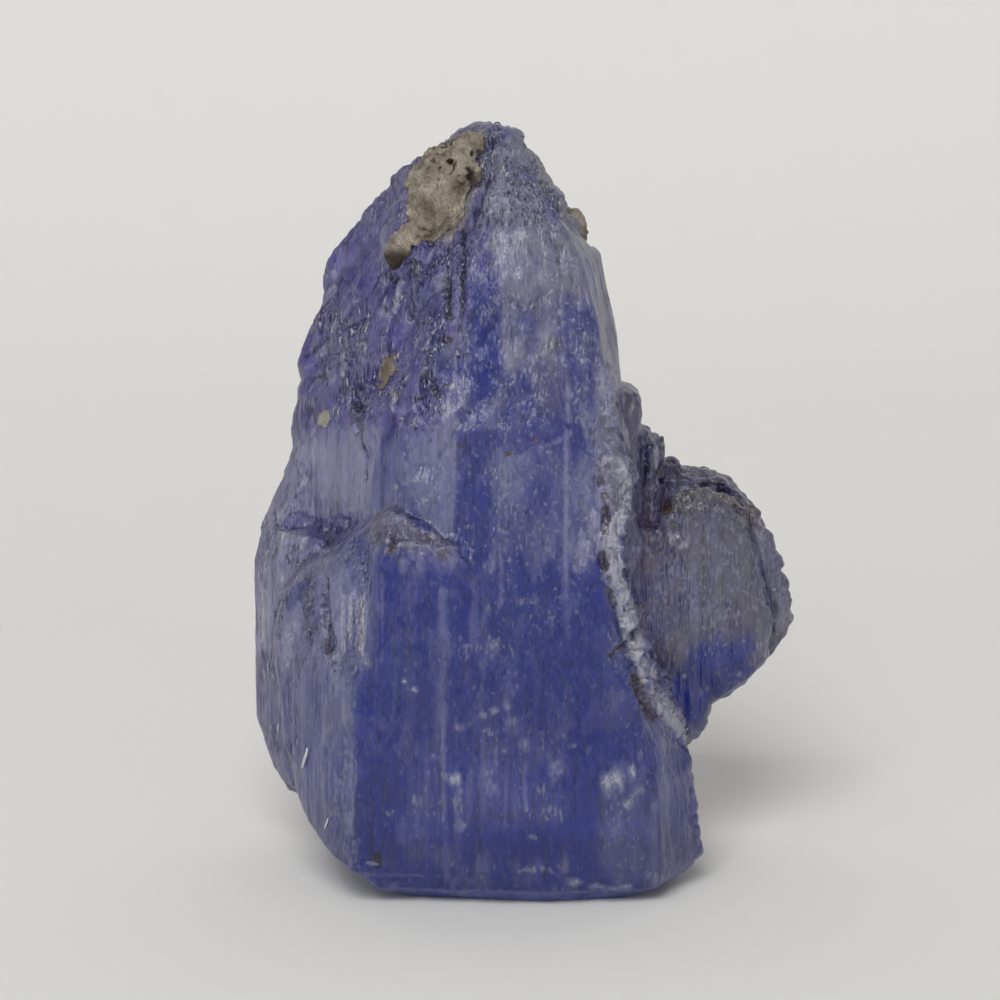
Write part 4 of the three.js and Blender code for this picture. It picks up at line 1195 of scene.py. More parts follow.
class Weave:
    """Short ways to add nodes to one material or node group."""

    groups: dict[str, NodeTree] = {}

    def __init__(self, tree: NodeTree) -> None:
        """Keep the node tree."""
        self.tree = tree

    def put(self, socket: Socket, value: object) -> None:
        """Fill an input socket.

        Args:
            socket: The input socket.
            value: The output to link, or the value to set.
        """
        if isinstance(value, Socket):
            self.tree.links.new(value, socket)
        else:
            socket.default_value = value

    def pattern(self, group: str, pitch: Point3) -> bpy.types.Node:
        """Place one of the shared groups, which are made once.

        Args:
            group: The group's name.
            pitch: The size of its lumps along x, y and z, in millimetres.

        Returns:
            The group's node.
        """
        if not self.groups:
            self.groups.update(grain=grain_group(), facets=facet_group())
        node = self.tree.nodes.new("ShaderNodeGroup")
        node.node_tree = self.groups[group]
        node.inputs["Lumps"].default_value = tuple(1 / (size * MM) for size in pitch)
        return node

    def noise(self, pitch: Point3, contrast: float = 2.0, detail: float = 2.0) -> Socket:
        """Add noise.

        Args:
            pitch: The size of its lumps along x, y and z, in millimetres.
            contrast: How far it is stretched about its middle.
            detail: How many finer sizes are added.

        Returns:
            The noise, from 0 to 1.
        """
        node = self.pattern("grain", pitch)
        node.inputs["Detail"].default_value = detail
        node.inputs["Contrast"].default_value = contrast
        return node.outputs["Noise"]

    def facets(self, pitch: Point3) -> Socket:
        """The height of tilted planes of this size in millimetres."""
        return self.pattern("facets", pitch).outputs["Height"]

    def attribute(self, name: str, output: str = "Fac") -> Socket:
        """Read what is kept on the mesh.

        Args:
            name: The attribute's name.
            output: "Fac" for a number, "Color" for a colour.

        Returns:
            The number or colour.
        """
        node = self.tree.nodes.new("ShaderNodeAttribute")
        node.attribute_name = name
        return node.outputs[output]

    def step(self, kind: str, operation: str, values: tuple[object, ...], output: str) -> Socket:
        """Add one step of arithmetic.

        Args:
            kind: The node's kind.
            operation: Its operation, in Blender's capitals.
            values: What it works on, each a value or a socket.
            output: The name of its result.

        Returns:
            The result.
        """
        node = self.tree.nodes.new(kind)
        node.operation = operation
        for socket, value in zip(node.inputs, values):
            self.put(socket, value)
        return node.outputs[output]

    def math(self, operation: str, *values: object) -> Socket:
        """Add one step of arithmetic on numbers."""
        return self.step("ShaderNodeMath", operation, values, "Value")

    def vector(self, operation: str, *values: object, output: str = "Vector") -> Socket:
        """Add one step of arithmetic on vectors; a dot product puts out a "Value"."""
        return self.step("ShaderNodeVectorMath", operation, values, output)

    def spread(self, value: object, low: object, high: object, clear: object = 0.0, full: object = 1.0) -> Socket:
        """Spread a value between clear and full over low to high.

        Args:
            value: What is spread.
            low: The result at clear and below.
            high: The result at full and above.
            clear: Where the spread starts.
            full: Where it ends.

        Returns:
            The result.
        """
        node = self.tree.nodes.new("ShaderNodeMapRange")
        ends = {"Value": value, "From Min": clear, "From Max": full, "To Min": low, "To Max": high}
        for name, entry in ends.items():
            self.put(node.inputs[name], entry)
        return node.outputs["Result"]

    def flecks(self, noise: object, amount: object, crisp: float = 0.10) -> Socket:
        """Find where noise rises above what an amount leaves bare.

        Args:
            noise: The noise, from 0 to 1.
            amount: How much is covered: nothing at 0, everything at 1.
            crisp: How wide the flecks' edges are.

        Returns:
            1 in the flecks, 0 between them.
        """
        bar = self.math("SUBTRACT", 1.0, amount)
        return self.spread(noise, 0.0, 1.0, bar, self.math("ADD", bar, crisp))

    def mix(self, share: object, first: object, second: object, blend: str = "MIX") -> Socket:
        """Mix two colours.

        Args:
            share: How much of the second there is.
            first: The first colour.
            second: The second colour.
            blend: The way of mixing, in Blender's capitals.

        Returns:
            The mixed colour.
        """
        node = self.tree.nodes.new("ShaderNodeMix")
        node.data_type = "RGBA"
        node.blend_type = blend
        colours = [socket for socket in node.inputs if socket.type == "RGBA"]
        self.put(node.inputs["Factor"], share)
        self.put(colours[0], first)
        self.put(colours[1], second)
        return next(socket for socket in node.outputs if socket.type == "RGBA")

    def bump(self, height: object, depth: float, strength: object = 1.0, over: object = None) -> Socket:
        """Bump the surface.

        Args:
            height: The height, from 0 to 1.
            depth: What a height of 1 is in millimetres.
            strength: How much of the bump there is.
            over: The normal under it, if that is bumped already.

        Returns:
            The bumped normal.
        """
        node = self.tree.nodes.new("ShaderNodeBump")
        node.inputs["Distance"].default_value = depth * MM
        self.put(node.inputs["Height"], height)
        self.put(node.inputs["Strength"], strength)
        if over is not None:
            self.put(node.inputs["Normal"], over)
        return node.outputs["Normal"]


@dataclass(frozen=True)
class TanzaniteFinish:
    """Blue-violet crystal: clear in part, hazy in part, striated, frosted where it is bruised, with painted
    glints, and painted shade and sheen on its etched dashes.
    """

    clearness: float = 0.65
    refraction: float = 1.69
    gloss: float = 0.40
    absorbed: Point3 = (0.34, 0.36, 0.80)
    density: float = 70.0
    wisp: Point3 = (0.36, 0.38, 0.52)
    glint: Point3 = (0.75, 0.76, 0.82)
    # White of the painted glints and of the frosted flecks.
    white: Point3 = (0.96, 0.96, 0.97)
    dirt: Point3 = (0.030, 0.020, 0.018)

    def make(self) -> Material:
        """Make the material.

        Returns:
            The material.
        """
        material, tree, shader, output = new_material("tanzanite")
        weave = Weave(tree)
        tint = weave.attribute("tint", "Color")
        frost, etch = weave.attribute("frost"), weave.attribute("etch")
        veil, soot = weave.attribute("veil"), weave.attribute("soot")
        lines = weave.noise((0.14, 0.14, 5.0), 2.4, 2.0)
        fine = weave.noise((0.055, 0.055, 0.9), 2.4, 1.0)
        dashes = weave.noise((0.070, 0.070, 0.50), 2.8, 1.0)
        clumps = weave.noise((0.10, 0.10, 0.18), 2.6, 1.0)
        glints = weave.noise((0.10, 0.10, 0.50), 2.4, 1.0)
        crumbs = weave.noise((0.075, 0.075, 0.11), 2.6, 1.0)

        low, high = weave.spread(etch, 0.66, 0.35), weave.spread(etch, 1.34, 1.65)
        faint, strong = weave.spread(etch, 0.76, 0.55), weave.spread(etch, 1.24, 1.50)
        shade = weave.math("MULTIPLY", weave.spread(lines, low, high), weave.spread(fine, faint, strong))
        colour = weave.mix(1.0, tint, weave.mix(shade, (0, 0, 0, 1), (1, 1, 1, 1)), "MULTIPLY")
        haze = weave.mix(weave.spread(veil, 0.0, 1.0, 0.55, 0.85), (*self.wisp, 1), (*self.glint, 1))
        colour = weave.mix(weave.math("MULTIPLY", weave.flecks(clumps, veil, 0.22), 0.70), colour, haze)
        # Painted shade in the sunk dashes of the etched bump, and painted sheen on its raised dashes, where the
        # etching is strong.
        painted_dash_shade = weave.flecks(weave.math("SUBTRACT", 1.0, dashes), weave.spread(etch, 0.0, 0.34), 0.14)
        colour = weave.mix(weave.math("MULTIPLY", painted_dash_shade, 0.75), colour, (*PLUM.linear(), 1))
        painted_dash_sheen = weave.flecks(dashes, weave.spread(etch, 0.0, 0.36), 0.18)
        colour = weave.mix(weave.math("MULTIPLY", painted_dash_sheen, 0.60), colour, (*self.wisp, 1))
        # Painted glints: small white flecks on the etched faces; the white flecks of frosted spots are mixed in
        # with them.
        painted_glints = weave.flecks(glints, weave.spread(etch, 0.0, 0.15, 0.3, 1.0), 0.06)
        white = weave.math("MAXIMUM", painted_glints, weave.flecks(crumbs, weave.math("MULTIPLY", frost, 0.60), 0.35))
        colour = weave.mix(weave.math("MULTIPLY", white, 0.95), colour, (*self.white, 1))
        colour = weave.mix(weave.flecks(crumbs, soot, 0.14), colour, (*self.dirt, 1))
        weave.put(shader.inputs["Base Color"], colour)

        weave.put(shader.inputs["Roughness"], weave.spread(frost, weave.spread(etch, 0.20, 0.10), 0.38))
        shader.inputs["IOR"].default_value = self.refraction
        shader.inputs["Specular IOR Level"].default_value = self.gloss
        shader.inputs["Transmission Weight"].default_value = self.clearness
        normal = weave.bump(lines, 0.030, 0.60)
        facets = weave.math("MULTIPLY_ADD", dashes, 0.95, weave.facets((0.32, 0.32, 1.2)))
        normal = weave.bump(facets, 0.06, weave.spread(etch, 0.03, 0.95), normal)
        normal = weave.bump(crumbs, 0.06, weave.spread(frost, 0.02, 1.0), normal)
        weave.put(shader.inputs["Normal"], normal)
        inside = tree.nodes.new("ShaderNodeVolumeAbsorption")
        inside.inputs["Color"].default_value = (*self.absorbed, 1)
        inside.inputs["Density"].default_value = self.density
        tree.links.new(inside.outputs["Volume"], output.inputs["Volume"])
        return material


@dataclass(frozen=True)
class RockFinish:
    """Granular host rock: pale where it is fresh, dull where it is dirty, with painted shade darkening its pits.
    """

    name: str = "host_rock"
    pale: Point3 = (0.50, 0.45, 0.37)
    dull: Point3 = (0.20, 0.165, 0.13)
    pit: Point3 = (0.03, 0.022, 0.018)

    def make(self) -> Material:
        """Make the material.

        Returns:
            The material.
        """
        material, tree, shader, _ = new_material(self.name)
        weave = Weave(tree)
        patches = weave.noise((0.50, 0.50, 0.6), 3.4, 4.0)
        sand = weave.noise((0.06, 0.06, 0.08), 2.8, 3.0)
        colour = weave.mix(patches, (*self.dull, 1), (*self.pale, 1))
        colour = weave.mix(weave.spread(sand, 0.55, 0.0, 0.2, 0.8), colour, (*self.dull, 1))
        # The attribute "dirt" holds painted shade in the pits along with dark blots and the darker lower end of
        # the crust.
        colour = weave.mix(weave.attribute("dirt"), colour, (*self.pit, 1))
        weave.put(shader.inputs["Base Color"], colour)
        shader.inputs["Roughness"].default_value = 0.85
        shader.inputs["Specular IOR Level"].default_value = 0.3
        weave.put(shader.inputs["Normal"], weave.bump(sand, 0.06, 0.8))
        return material


@dataclass(frozen=True)
class LintFinish:
    """White textile lint."""

    white: Point3 = (0.82, 0.82, 0.84)
    grey: Point3 = (0.50, 0.50, 0.54)

    def make(self) -> Material:
        """Make the material.

        Returns:
            The material.
        """
        material, tree, shader, _ = new_material("lint")
        weave = Weave(tree)
        threads = weave.noise((0.015, 0.015, 0.12), 2.6, 2.0)
        weave.put(shader.inputs["Base Color"], weave.mix(threads, (*self.grey, 1), (*self.white, 1)))
        shader.inputs["Roughness"].default_value = 0.7
        weave.put(shader.inputs["Normal"], weave.bump(threads, 0.01, 0.6))
        return material


# ---------------------------------------------------------------- the crystal


@dataclass(frozen=True)
class Tiles:
    """Small planes, domes or blades that cover a surface, each with a tilt and a level of its own.

    The pitch is the size of one along x, y and z. It, the groove's depth and all other heights are in millimetres;
    the groove's width and the dome's crest are shares of the pitch.
    """

    pitch: Point3
    seed: int
    tilt: float
    step: float = 0.0
    groove: float = 0.0
    width: float = 0.12
    dome: float = 0.0
    crest: float = 0.5

    def height(self, points: Array) -> Array:
        """Find how far the tiles stand out.

        Args:
            points: Points, one a row.

        Returns:
            The height in millimetres for each point.
        """
        near, second, owner, slope = scattered(points, self.pitch, self.seed)
        tile = self.dome * (self.crest - near) + self.tilt * slope + self.step * (owner - 0.5)
        return tile - self.groove * rise(second - near, self.width, 0.0)


ETCHING = (
    Tiles((0.60, 0.60, 2.2), 21, tilt=0.05, step=0.03, groove=0.02),
    Tiles((0.30, 0.30, 1.0), 31, tilt=0.04, step=0.02),
)
CROWN = (Tiles((0.75, 0.75, 0.8), 41, tilt=0.14, groove=0.04, dome=0.05),)
BLADES = (
    Tiles((1.1, 1.1, 6.0), 81, tilt=0.16, step=0.12, groove=0.08, width=0.16),
    Tiles((0.7, 0.7, 1.3), 86, tilt=0.07, step=0.04),
)
NICKS = Tiles((0.58, 0.58, 0.52), 46, tilt=0.10, groove=0.04, width=0.14, dome=0.15, crest=0.55)


def crown_share(view: Array, soft: float) -> Array:
    """1 on the spire's tip, fading to 0 over soft units of the front view's plane."""
    return within(view[:, 1], 60, 225, soft)


class Fray:
    """Noise that frays the edges of marks: coarse for large marks, fine for small ones."""

    def __init__(self, points: Array) -> None:
        """Make the noise for these points."""
        self.coarse = rough(points, (0.7, 0.7, 1.5), 51)
        self.fine = rough(points, (0.16, 0.16, 0.34), 52)

    def suiting(self, mark: Mark) -> Array:
        """The noise that suits a mark."""
        return self.coarse if mark.reach > 0.4 else self.fine


class Coat:
    """What is kept for each point of the crystal's mesh: its colour, with painted shade, highlights and glints in
    it, haze, frosting and dirt.
    """

    clear = (DEEP, NAVY, VIOLET)

    def __init__(self, crystal: Object) -> None:
        """Start with the body's colour under an uneven veil of haze.

        Args:
            crystal: The crystal's piece, in millimetres.
        """
        self.points = points = points_of(crystal)
        self.view = SIGHT.project(points)
        self.fray = Fray(points)
        self.clouds = rough(points, (1.1, 1.1, 1.9), 71)
        self.wisps = rough(points, (0.45, 0.45, 0.8), 74)
        self.tint = np.tile(BODY.linear(), (len(points), 1))
        self.veil = 0.34 + 0.16 * rise(self.clouds, 0.0, 0.7) + 0.16 * self.wisps
        self.frost = np.zeros(len(points))
        self.soot = np.zeros(len(points))

    def wash(self, share: Array, shade: Tint) -> None:
        """Mix a colour in, by a share from 0 to 1 for each point."""
        self.tint += share[:, None] * (shade.linear() - self.tint)

    def mottle(self, values: Array, share: float, low: float, high: float, over: Tint, under: Tint) -> None:
        """Mix one colour in where noise is high and another where it is low.

        Args:
            values: The noise.
            share: How much of each colour is mixed in.
            low: Where either colour begins, to both sides of 0.
            high: Where it is full.
            over: The colour for high noise.
            under: The colour for low noise.
        """
        self.wash(share * rise(values, low, high), over)
        self.wash(share * rise(values, -low, -high), under)

    def lay_zones(self, lobe: Array) -> None:
        """Colour the zones, from the back forwards.

        Args:
            lobe: 1 on the plate at the right rear and 0 elsewhere.
        """
        points = self.points
        drift = 0.6 * noise(points, (0.9, 0.9, 2.4), 62) + 0.5 * noise(points, (0.25, 0.25, 1.2), 63)
        fringe = 0.6 * noise(points, (0.11, 0.11, 2.6), 64) + 0.3 * noise(points, (0.35, 0.35, 2.2), 65)
        self.mottle(noise(points, (0.5, 0.5, 7.0), 61), 0.5, 0.1, 0.7, LAVENDER, DEEP)
        for zone in SPIRE_ZONES + LEFT_ZONES + LOBE_ZONES:
            share = zone.mask(self.view, drift, fringe) * (lobe if zone in LOBE_ZONES else 1 - lobe)
            self.wash(share, zone.tint)
            if zone.tint in self.clear:
                self.veil *= 1 - 0.58 * share
        self.mottle(self.clouds, 0.40, 0.10, 0.75, HAZE, DEEP)
        self.mottle(self.wisps, 0.35, 0.15, 0.5, HAZE, DEEP)

    def lay_patches(self) -> None:
        """Colour the small patches of the etched upper left flank, and the fine threads all over."""
        points, view = self.points, self.view
        flank = within(view[:, 0] + 0.25 * view[:, 1], 200, 560, 20) * within(view[:, 1], 100, 440, 16)
        patches = rough(points, (0.35, 0.35, 0.75), 75)
        specks = rough(points, (0.22, 0.22, 0.36), 76)
        self.wash(0.55 * flank * rise(patches, 0.14, 0.34), IRIS)
        self.wash(0.35 * flank * rise(patches, -0.14, -0.34), LAVENDER)
        self.wash(0.45 * flank * rise(specks, 0.25, 0.45), PALE)
        sooty = flank * rise(view[:, 0], 340, 400) * rise(view[:, 1], 215, 250)
        self.soot = np.maximum(self.soot, 0.5 * sooty * rise(specks, -0.25, -0.50))
        self.mottle(noise(points, (0.16, 0.16, 4.0), 72), 0.35, 0.2, 0.8, LAVENDER, NAVY)

    def lay(self, mark: Mark, ground: Ground) -> None:
        """Lay one mark on the crystal.

        Args:
            mark: The mark.
            ground: The surface that its path is found on.
        """
        share = mark.mask(self.points, ground, self.fray.suiting(mark))
        if mark.veiled():
            self.wash(np.clip(0.45 * share * mark.strength, 0, 1), mark.tint)
            haze = (0.35 if mark.tint is FROST_AND_GLINT else 0.20) + 0.6 * mark.strength
            self.veil = np.maximum(self.veil, share * haze)
        else:
            self.wash(np.clip(share * mark.strength, 0, 1), mark.tint)
        if mark.tint in self.clear:
            self.veil *= 1 - 0.7 * share * mark.strength
        self.frost = np.maximum(self.frost, share * mark.frost)
        self.soot = np.maximum(self.soot, share * mark.soot)

    def age(self, crystal: Object, lobe: Array) -> None:
        """Paint shade into the narrow and the wide hollows, and pale the crests.

        Args:
            crystal: The crystal's piece, whose relief is measured.
            lobe: 1 on the plate at the right rear, which isn't paled, and 0 elsewhere.
        """
        close, wide = relief(crystal, 2), relief(crystal, 16)
        # Painted shade: plum darkening in the narrow creases and in the wide hollows of the relief; the crests are
        # paled after it.
        self.wash(0.42 * rise(-close, 0.004, 0.016), PLUM)
        self.wash(0.28 * rise(-wide, 0.025, 0.090), PLUM)
        self.wash((1 - lobe) * 0.15 * rise(close, 0.004, 0.016), PALE)

    def keep(self, crystal: Object) -> None:
        """Keep the coat on the crystal's mesh.

        Args:
            crystal: The crystal's piece.
        """
        paint(crystal, "tint", self.tint)
        paint(crystal, "frost", np.clip(self.frost * (0.7 + 0.5 * self.fray.fine), 0, 1))
        paint(crystal, "veil", np.clip(self.veil, 0, 1))
        paint(crystal, "soot", np.clip(self.soot, 0, 1))


@dataclass
class Crystal:
    """The intergrown crystals, re-cut from the solid with their natural relief. Sizes are in millimetres."""

    node: str = "tanzanite_crystal"
    seats: tuple[tuple[str, Point3], ...] = (
        ("host_rock_crust", (0.0, 0.42, -0.05)), ("host_rock_chip", (-0.55, -0.20, -0.20))
    )
    seat_grow: float = 0.40
    voxel: float = 0.062
    triangles: int = 196_000
    melt: int = 4
    favour: float = 4e-2
    lip: float = 0.75
    lobe_side: float = 3.7
    lobe_front: float = -0.9
    rib_pitch: Point3 = (0.42, 0.42, 11.0)
    rib_height: float = 0.05
    fine_rib_pitch: Point3 = (0.17, 0.17, 6.0)
    fine_rib_height: float = 0.022
    lump_pitch: Point3 = (0.5, 0.5, 0.9)
    lump_height: float = 0.04
    wear_pitch: Point3 = (0.9, 0.9, 0.8)
    wear_height: float = 0.08
    crumb_pitch: Point3 = (0.24, 0.24, 0.32)

    def bare(self) -> Object:
        """Make the solid with the seats of the host rock filled, as one even skin.

        Returns:
            The crystal's object, in millimetres.
        """
        scale = Matrix.Scale(1 / MM, 4)
        whole = [copied(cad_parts[self.node], "crystal", scale)]
        for lump, inwards in self.seats:
            low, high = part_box(lump)
            middle = (low + high) / 2 / MM
            bigger = Matrix.Diagonal([1 + self.seat_grow / side for side in (high - low) / MM / 2]).to_4x4()
            placing = Matrix.Translation(middle + Vector(inwards)) @ bigger @ Matrix.Translation(-middle) @ scale
            whole.append(copied(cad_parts[lump], lump + "_seat", placing))
        for part in whole:
            weld(part)
        crystal = joined(whole)
        modify(crystal, "REMESH", mode="VOXEL", voxel_size=self.voxel)
        modify(crystal, "SMOOTH", factor=0.5, iterations=self.melt)
        points = points_of(crystal)
        lip = self.lobe_share(points) * within(points[:, 0], 4.3, 7.3, 0.4) * rise(points[:, 1], 1.25, 1.0)
        points[:, 2] += self.lip * lip * rise(points[:, 2], 8.8, 10.4)
        move_points(crystal, points)
        return crystal

    def lobe_share(self, points: Array) -> Array:
        """1 on the plate at the right rear and 0 elsewhere."""
        return rise(points[:, 0], self.lobe_side - 0.3, self.lobe_side) * rise(
            points[:, 1], self.lobe_front - 0.2, self.lobe_front)

    def etched(self, points: Array, view: Array) -> Array:
        """Find where the crystal is etched: the upper left flank, the tip and the tops of the back's blades.

        Args:
            points: Points, one a row.
            view: Their places in the front view's plane.

        Returns:
            A number from 0.1 to 1 for each point.
        """
        flank = within(view[:, 0] + 0.25 * view[:, 1], 200, 548, 22) * within(view[:, 1], 60, 424, 16)
        flank *= 0.30 + 0.70 * rise(view[:, 1] + 0.65 * view[:, 0], 508, 530)
        tops = rise(points[:, 1], 1.6, 2.4) * rise(points[:, 2], 7.0, 12.0)
        tongue = within(view[:, 0], 266, 374, 8) * within(view[:, 1], 548, 680, 16)
        slab = rise(view[:, 0], 306, 296) * rise(view[:, 1], 470, 500)
        seam = within(view[:, 0] - 0.12 * view[:, 1], 535, 570, 6) * within(view[:, 1], 375, 560, 12)
        plate = self.lobe_share(points)
        crown = crown_share(view, 14)
        worn = [flank, 0.95 * crown, 0.7 * tops, 0.65 * tongue, 0.75 * slab, 0.4 * seam, 0.3 * plate]
        patchy = 0.30 + 0.70 * rise(rough(points, (0.55, 0.55, 1.0), 22), -0.12, 0.22)
        return np.clip(np.maximum.reduce(worn) * patchy, 0.10, 1)

    def sculpt(self, crystal: Object, ground: Ground) -> None:
        """Cut the natural relief into the skin.

        Args:
            crystal: The crystal's even skin, which is changed.
            ground: The surface that the marks' paths are found on.
        """
        points, normals = points_of(crystal), normals_of(crystal)
        view = SIGHT.project(points)
        upright = rise(np.abs(normals[:, 2]), 0.75, 0.35)
        ribs = 1 - np.abs(noise(points, self.rib_pitch, 3))
        fine_ribs = noise(points, self.fine_rib_pitch, 4)
        height = upright * (self.rib_height * ribs + self.fine_rib_height * fine_ribs)
        height += self.lump_height * rough(points, self.lump_pitch, 8)

        etched = rise(self.etched(points, view), 0.3, 1.0)
        behind = rise(normals[:, 1], 0.0, 0.4) * (0.35 + 0.65 * rise(points[:, 2], 1.0, 4.0))
        for share, layers in ((etched, ETCHING), (crown_share(view, 14), CROWN), (behind, BLADES)):
            spots = share > 0.01
            height[spots] += share[spots] * sum(tiles.height(points[spots]) for tiles in layers)

        plate = self.lobe_share(points)
        nicked = np.maximum(plate, within(view[:, 0], 684, 740, 5) * within(view[:, 1], 735, 888, 6))
        nicked = np.maximum(nicked, 0.8 * crown_share(view, 24)) * rise(normals[:, 1], -0.88, -0.35)
        height += nicked * NICKS.height(points)
        height += np.maximum(nicked, 0.5 * plate) * self.wear_height * rough(points, self.wear_pitch, 45)
        for ledge in LEDGES:
            height += ledge.rise(points, view)
        fray = Fray(points)
        crumbs = rough(points, self.crumb_pitch, 53, 2)
        for mark in self.marks():
            if mark.lift or mark.grain:
                height += mark.mask(points, ground, fray.suiting(mark)) * (mark.lift + mark.grain * crumbs)
        foot = rise(points[:, 2], 0.02, 0.3)
        move_points(crystal, points + normals * (height * foot)[:, None])

    def marks(self) -> tuple[Mark, ...]:
        """All the marks on the crystal, painted glints, highlights and shadows among them, from the back forwards.
        """
        return LOBE_MARKS + SPIRE_MARKS + FLANK_MARKS + TIP_MARKS + FRONT_MARKS + BLOCK_MARKS + BAND_MARKS

    def colour(self, crystal: Object, ground: Ground) -> None:
        """Keep the crystal's colours, with painted shade, highlights and glints among them, and its haze,
        frosting, dirt and etching on its mesh.

        Args:
            crystal: The crystal's piece, in millimetres.
            ground: The surface that the marks' paths are found on.
        """
        coat = Coat(crystal)
        lobe = self.lobe_share(coat.points)
        coat.lay_zones(lobe)
        coat.lay_patches()
        for mark in self.marks():
            coat.lay(mark, ground)
        coat.age(crystal, lobe)
        coat.keep(crystal)
        paint(crystal, "etch", self.etched(coat.points, coat.view))

    def favour_front(self, crystal: Object) -> None:
        """Say which points may be thinned out first: those on the back.

        Args:
            crystal: The crystal's piece, which gets the vertex group "spare".
        """
        normals = normals_of(crystal)
        share = np.round(0.1 + 0.9 * rise(normals[:, 1], -0.1, 0.35), 1)
        group = crystal.vertex_groups.new(name="spare")
        for weight in np.unique(share).tolist():
            group.add(np.flatnonzero(share == weight).tolist(), weight, "REPLACE")

    def build(self, material: Material) -> Ground:
        """Make the crystal's piece.

        Args:
            material: What it is made of.

        Returns:
            The ground on which the rest is set.
        """
        crystal = self.bare()
        ground = Ground(crystal)
        self.sculpt(crystal, ground)
        modify(crystal, "SMOOTH", factor=0.3, iterations=1)
        self.favour_front(crystal)
        ratio = self.triangles / (2 * len(crystal.data.polygons))
        modify(crystal, "DECIMATE", ratio=ratio, vertex_group="spare", vertex_group_factor=self.favour)
        crystal.vertex_groups.clear()
        self.colour(crystal, ground)
        crystal.name = "crystal"
        finish_piece(crystal, material)
        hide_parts(self.node)
        return ground


# ---------------------------------------------------------------- the host rock, grains and fibres


def in_outline(place: Point2, outline: tuple[Point2, ...]) -> bool:
    """Find whether a place lies inside a closed outline.

    Args:
        place: The place.
        outline: The outline's corners in order.

    Returns:
        Whether it lies inside.
    """
    inside = False
    for (ax, ay), (bx, by) in zip(outline, outline[1:] + outline[:1]):
        if (ay > place[1]) != (by > place[1]) and place[0] < (bx - ax) * (place[1] - ay) / (by - ay) + ax:
            inside = not inside
    return inside


@dataclass(frozen=True)
class Flake:
    """A flake of rock that lies on the crystal: flattened clumps over an outline, grown together.

    The outline and the step between clumps are given in the front view's plane, the rest in millimetres.
    """

    name: str
    outline: tuple[Point2, ...]
    step: float
    clump: float
    flat: float = 0.5
    proud: float = 0.06
    taper: float = 1.0
    voxel: float = 0.045
    seed: int = 0

    def lay(self, ground: Ground) -> Object:
        """Lay the clumps on the ground and grow them together.

        Args:
            ground: The bare surface of the crystal.

        Returns:
            The flake's object, in millimetres.
        """
        deselect_all()
        bpy.ops.mesh.primitive_ico_sphere_add(subdivisions=3, radius=1)
        lump = bpy.context.object
        lumps = []
        rim = np.array(self.outline + self.outline[:1], float)
        rows = np.arange(min(y for _, y in self.outline), max(y for _, y in self.outline), self.step)
        columns = np.arange(min(x for x, _ in self.outline), max(x for x, _ in self.outline), self.step)
        for row in rows.tolist():
            for column in columns.tolist():
                luck = [float(scramble(np.array([[column, row, 7]]), self.seed + salt)[0]) for salt in range(4)]
                place = (column + self.step * luck[0], row + self.step * luck[1])
                if not in_outline(place, self.outline):
                    continue
                point, normal = ground.spot(place)
                size = self.clump * (0.8 + 0.5 * luck[2])
                inwards = min(1.0, float(np.linalg.norm(rim - place, axis=1).min()) / self.taper)
                thick = self.flat * size * (0.4 + 0.6 * inwards)
                lie = normal.to_track_quat("Z", "Y").to_matrix().to_4x4()
                shape = Matrix.Diagonal((size, size * (0.8 + 0.5 * luck[3]), thick)).to_4x4()
                centre = point + self.proud * inwards * normal
                lumps.append(copied(lump, "clump", Matrix.Translation(centre) @ lie @ shape))
        bpy.data.objects.remove(lump)
        flake = joined(lumps)
        modify(flake, "REMESH", mode="VOXEL", voxel_size=self.voxel)
        modify(flake, "SMOOTH", factor=0.5, iterations=3)
        flake.name = self.name
        return flake


CRUST = Flake(
    name="host_rock_crust_face",
    outline=(
        (457, 138), (467, 135), (477, 135), (481, 141), (477, 151), (475, 160), (475, 171), (472, 180), (467, 191),
        (464, 205), (459, 217), (452, 223), (447, 230), (440, 235), (433, 238), (427, 238), (420, 240), (412, 245),
        (404, 253), (397, 261), (392, 264), (389, 257), (390, 247), (396, 238), (404, 230), (411, 223), (410, 211),
        (411, 201), (412, 188), (414, 178), (421, 168), (428, 159), (437, 152), (448, 147),
    ),
    step=4.0, clump=0.16, flat=0.9, proud=0.20, taper=12.0, voxel=0.04, seed=80,
)
GRAINS = (
    (Flake("host_rock_grain_wedge", ((395, 353), (394, 366), (396.5, 369), (392.5, 375), (387, 384), (382, 391),
                                     (380, 386), (382.5, 370), (384, 361), (390, 355)), 2.6, 0.09, seed=83),
     RockFinish("dusty_rock", pale=(0.30, 0.27, 0.22), dull=(0.15, 0.12, 0.09))),
    (Flake("host_rock_grain_oval", ((321, 411), (325, 409), (330, 411), (331, 419), (328, 427), (323, 428),
                                    (320, 420)), 2.6, 0.10, flat=0.7, seed=84),
     RockFinish("grey_rock", pale=(0.42, 0.40, 0.34), dull=(0.30, 0.28, 0.24))),
    (Flake("host_rock_grain_gold", ((664, 507), (670, 505), (675, 505), (671, 511), (667, 516), (663, 512)), 2.6,
           0.07, flat=0.8, seed=85),
     RockFinish("golden_rock", pale=(0.26, 0.17, 0.10), dull=(0.05, 0.035, 0.03))),
)


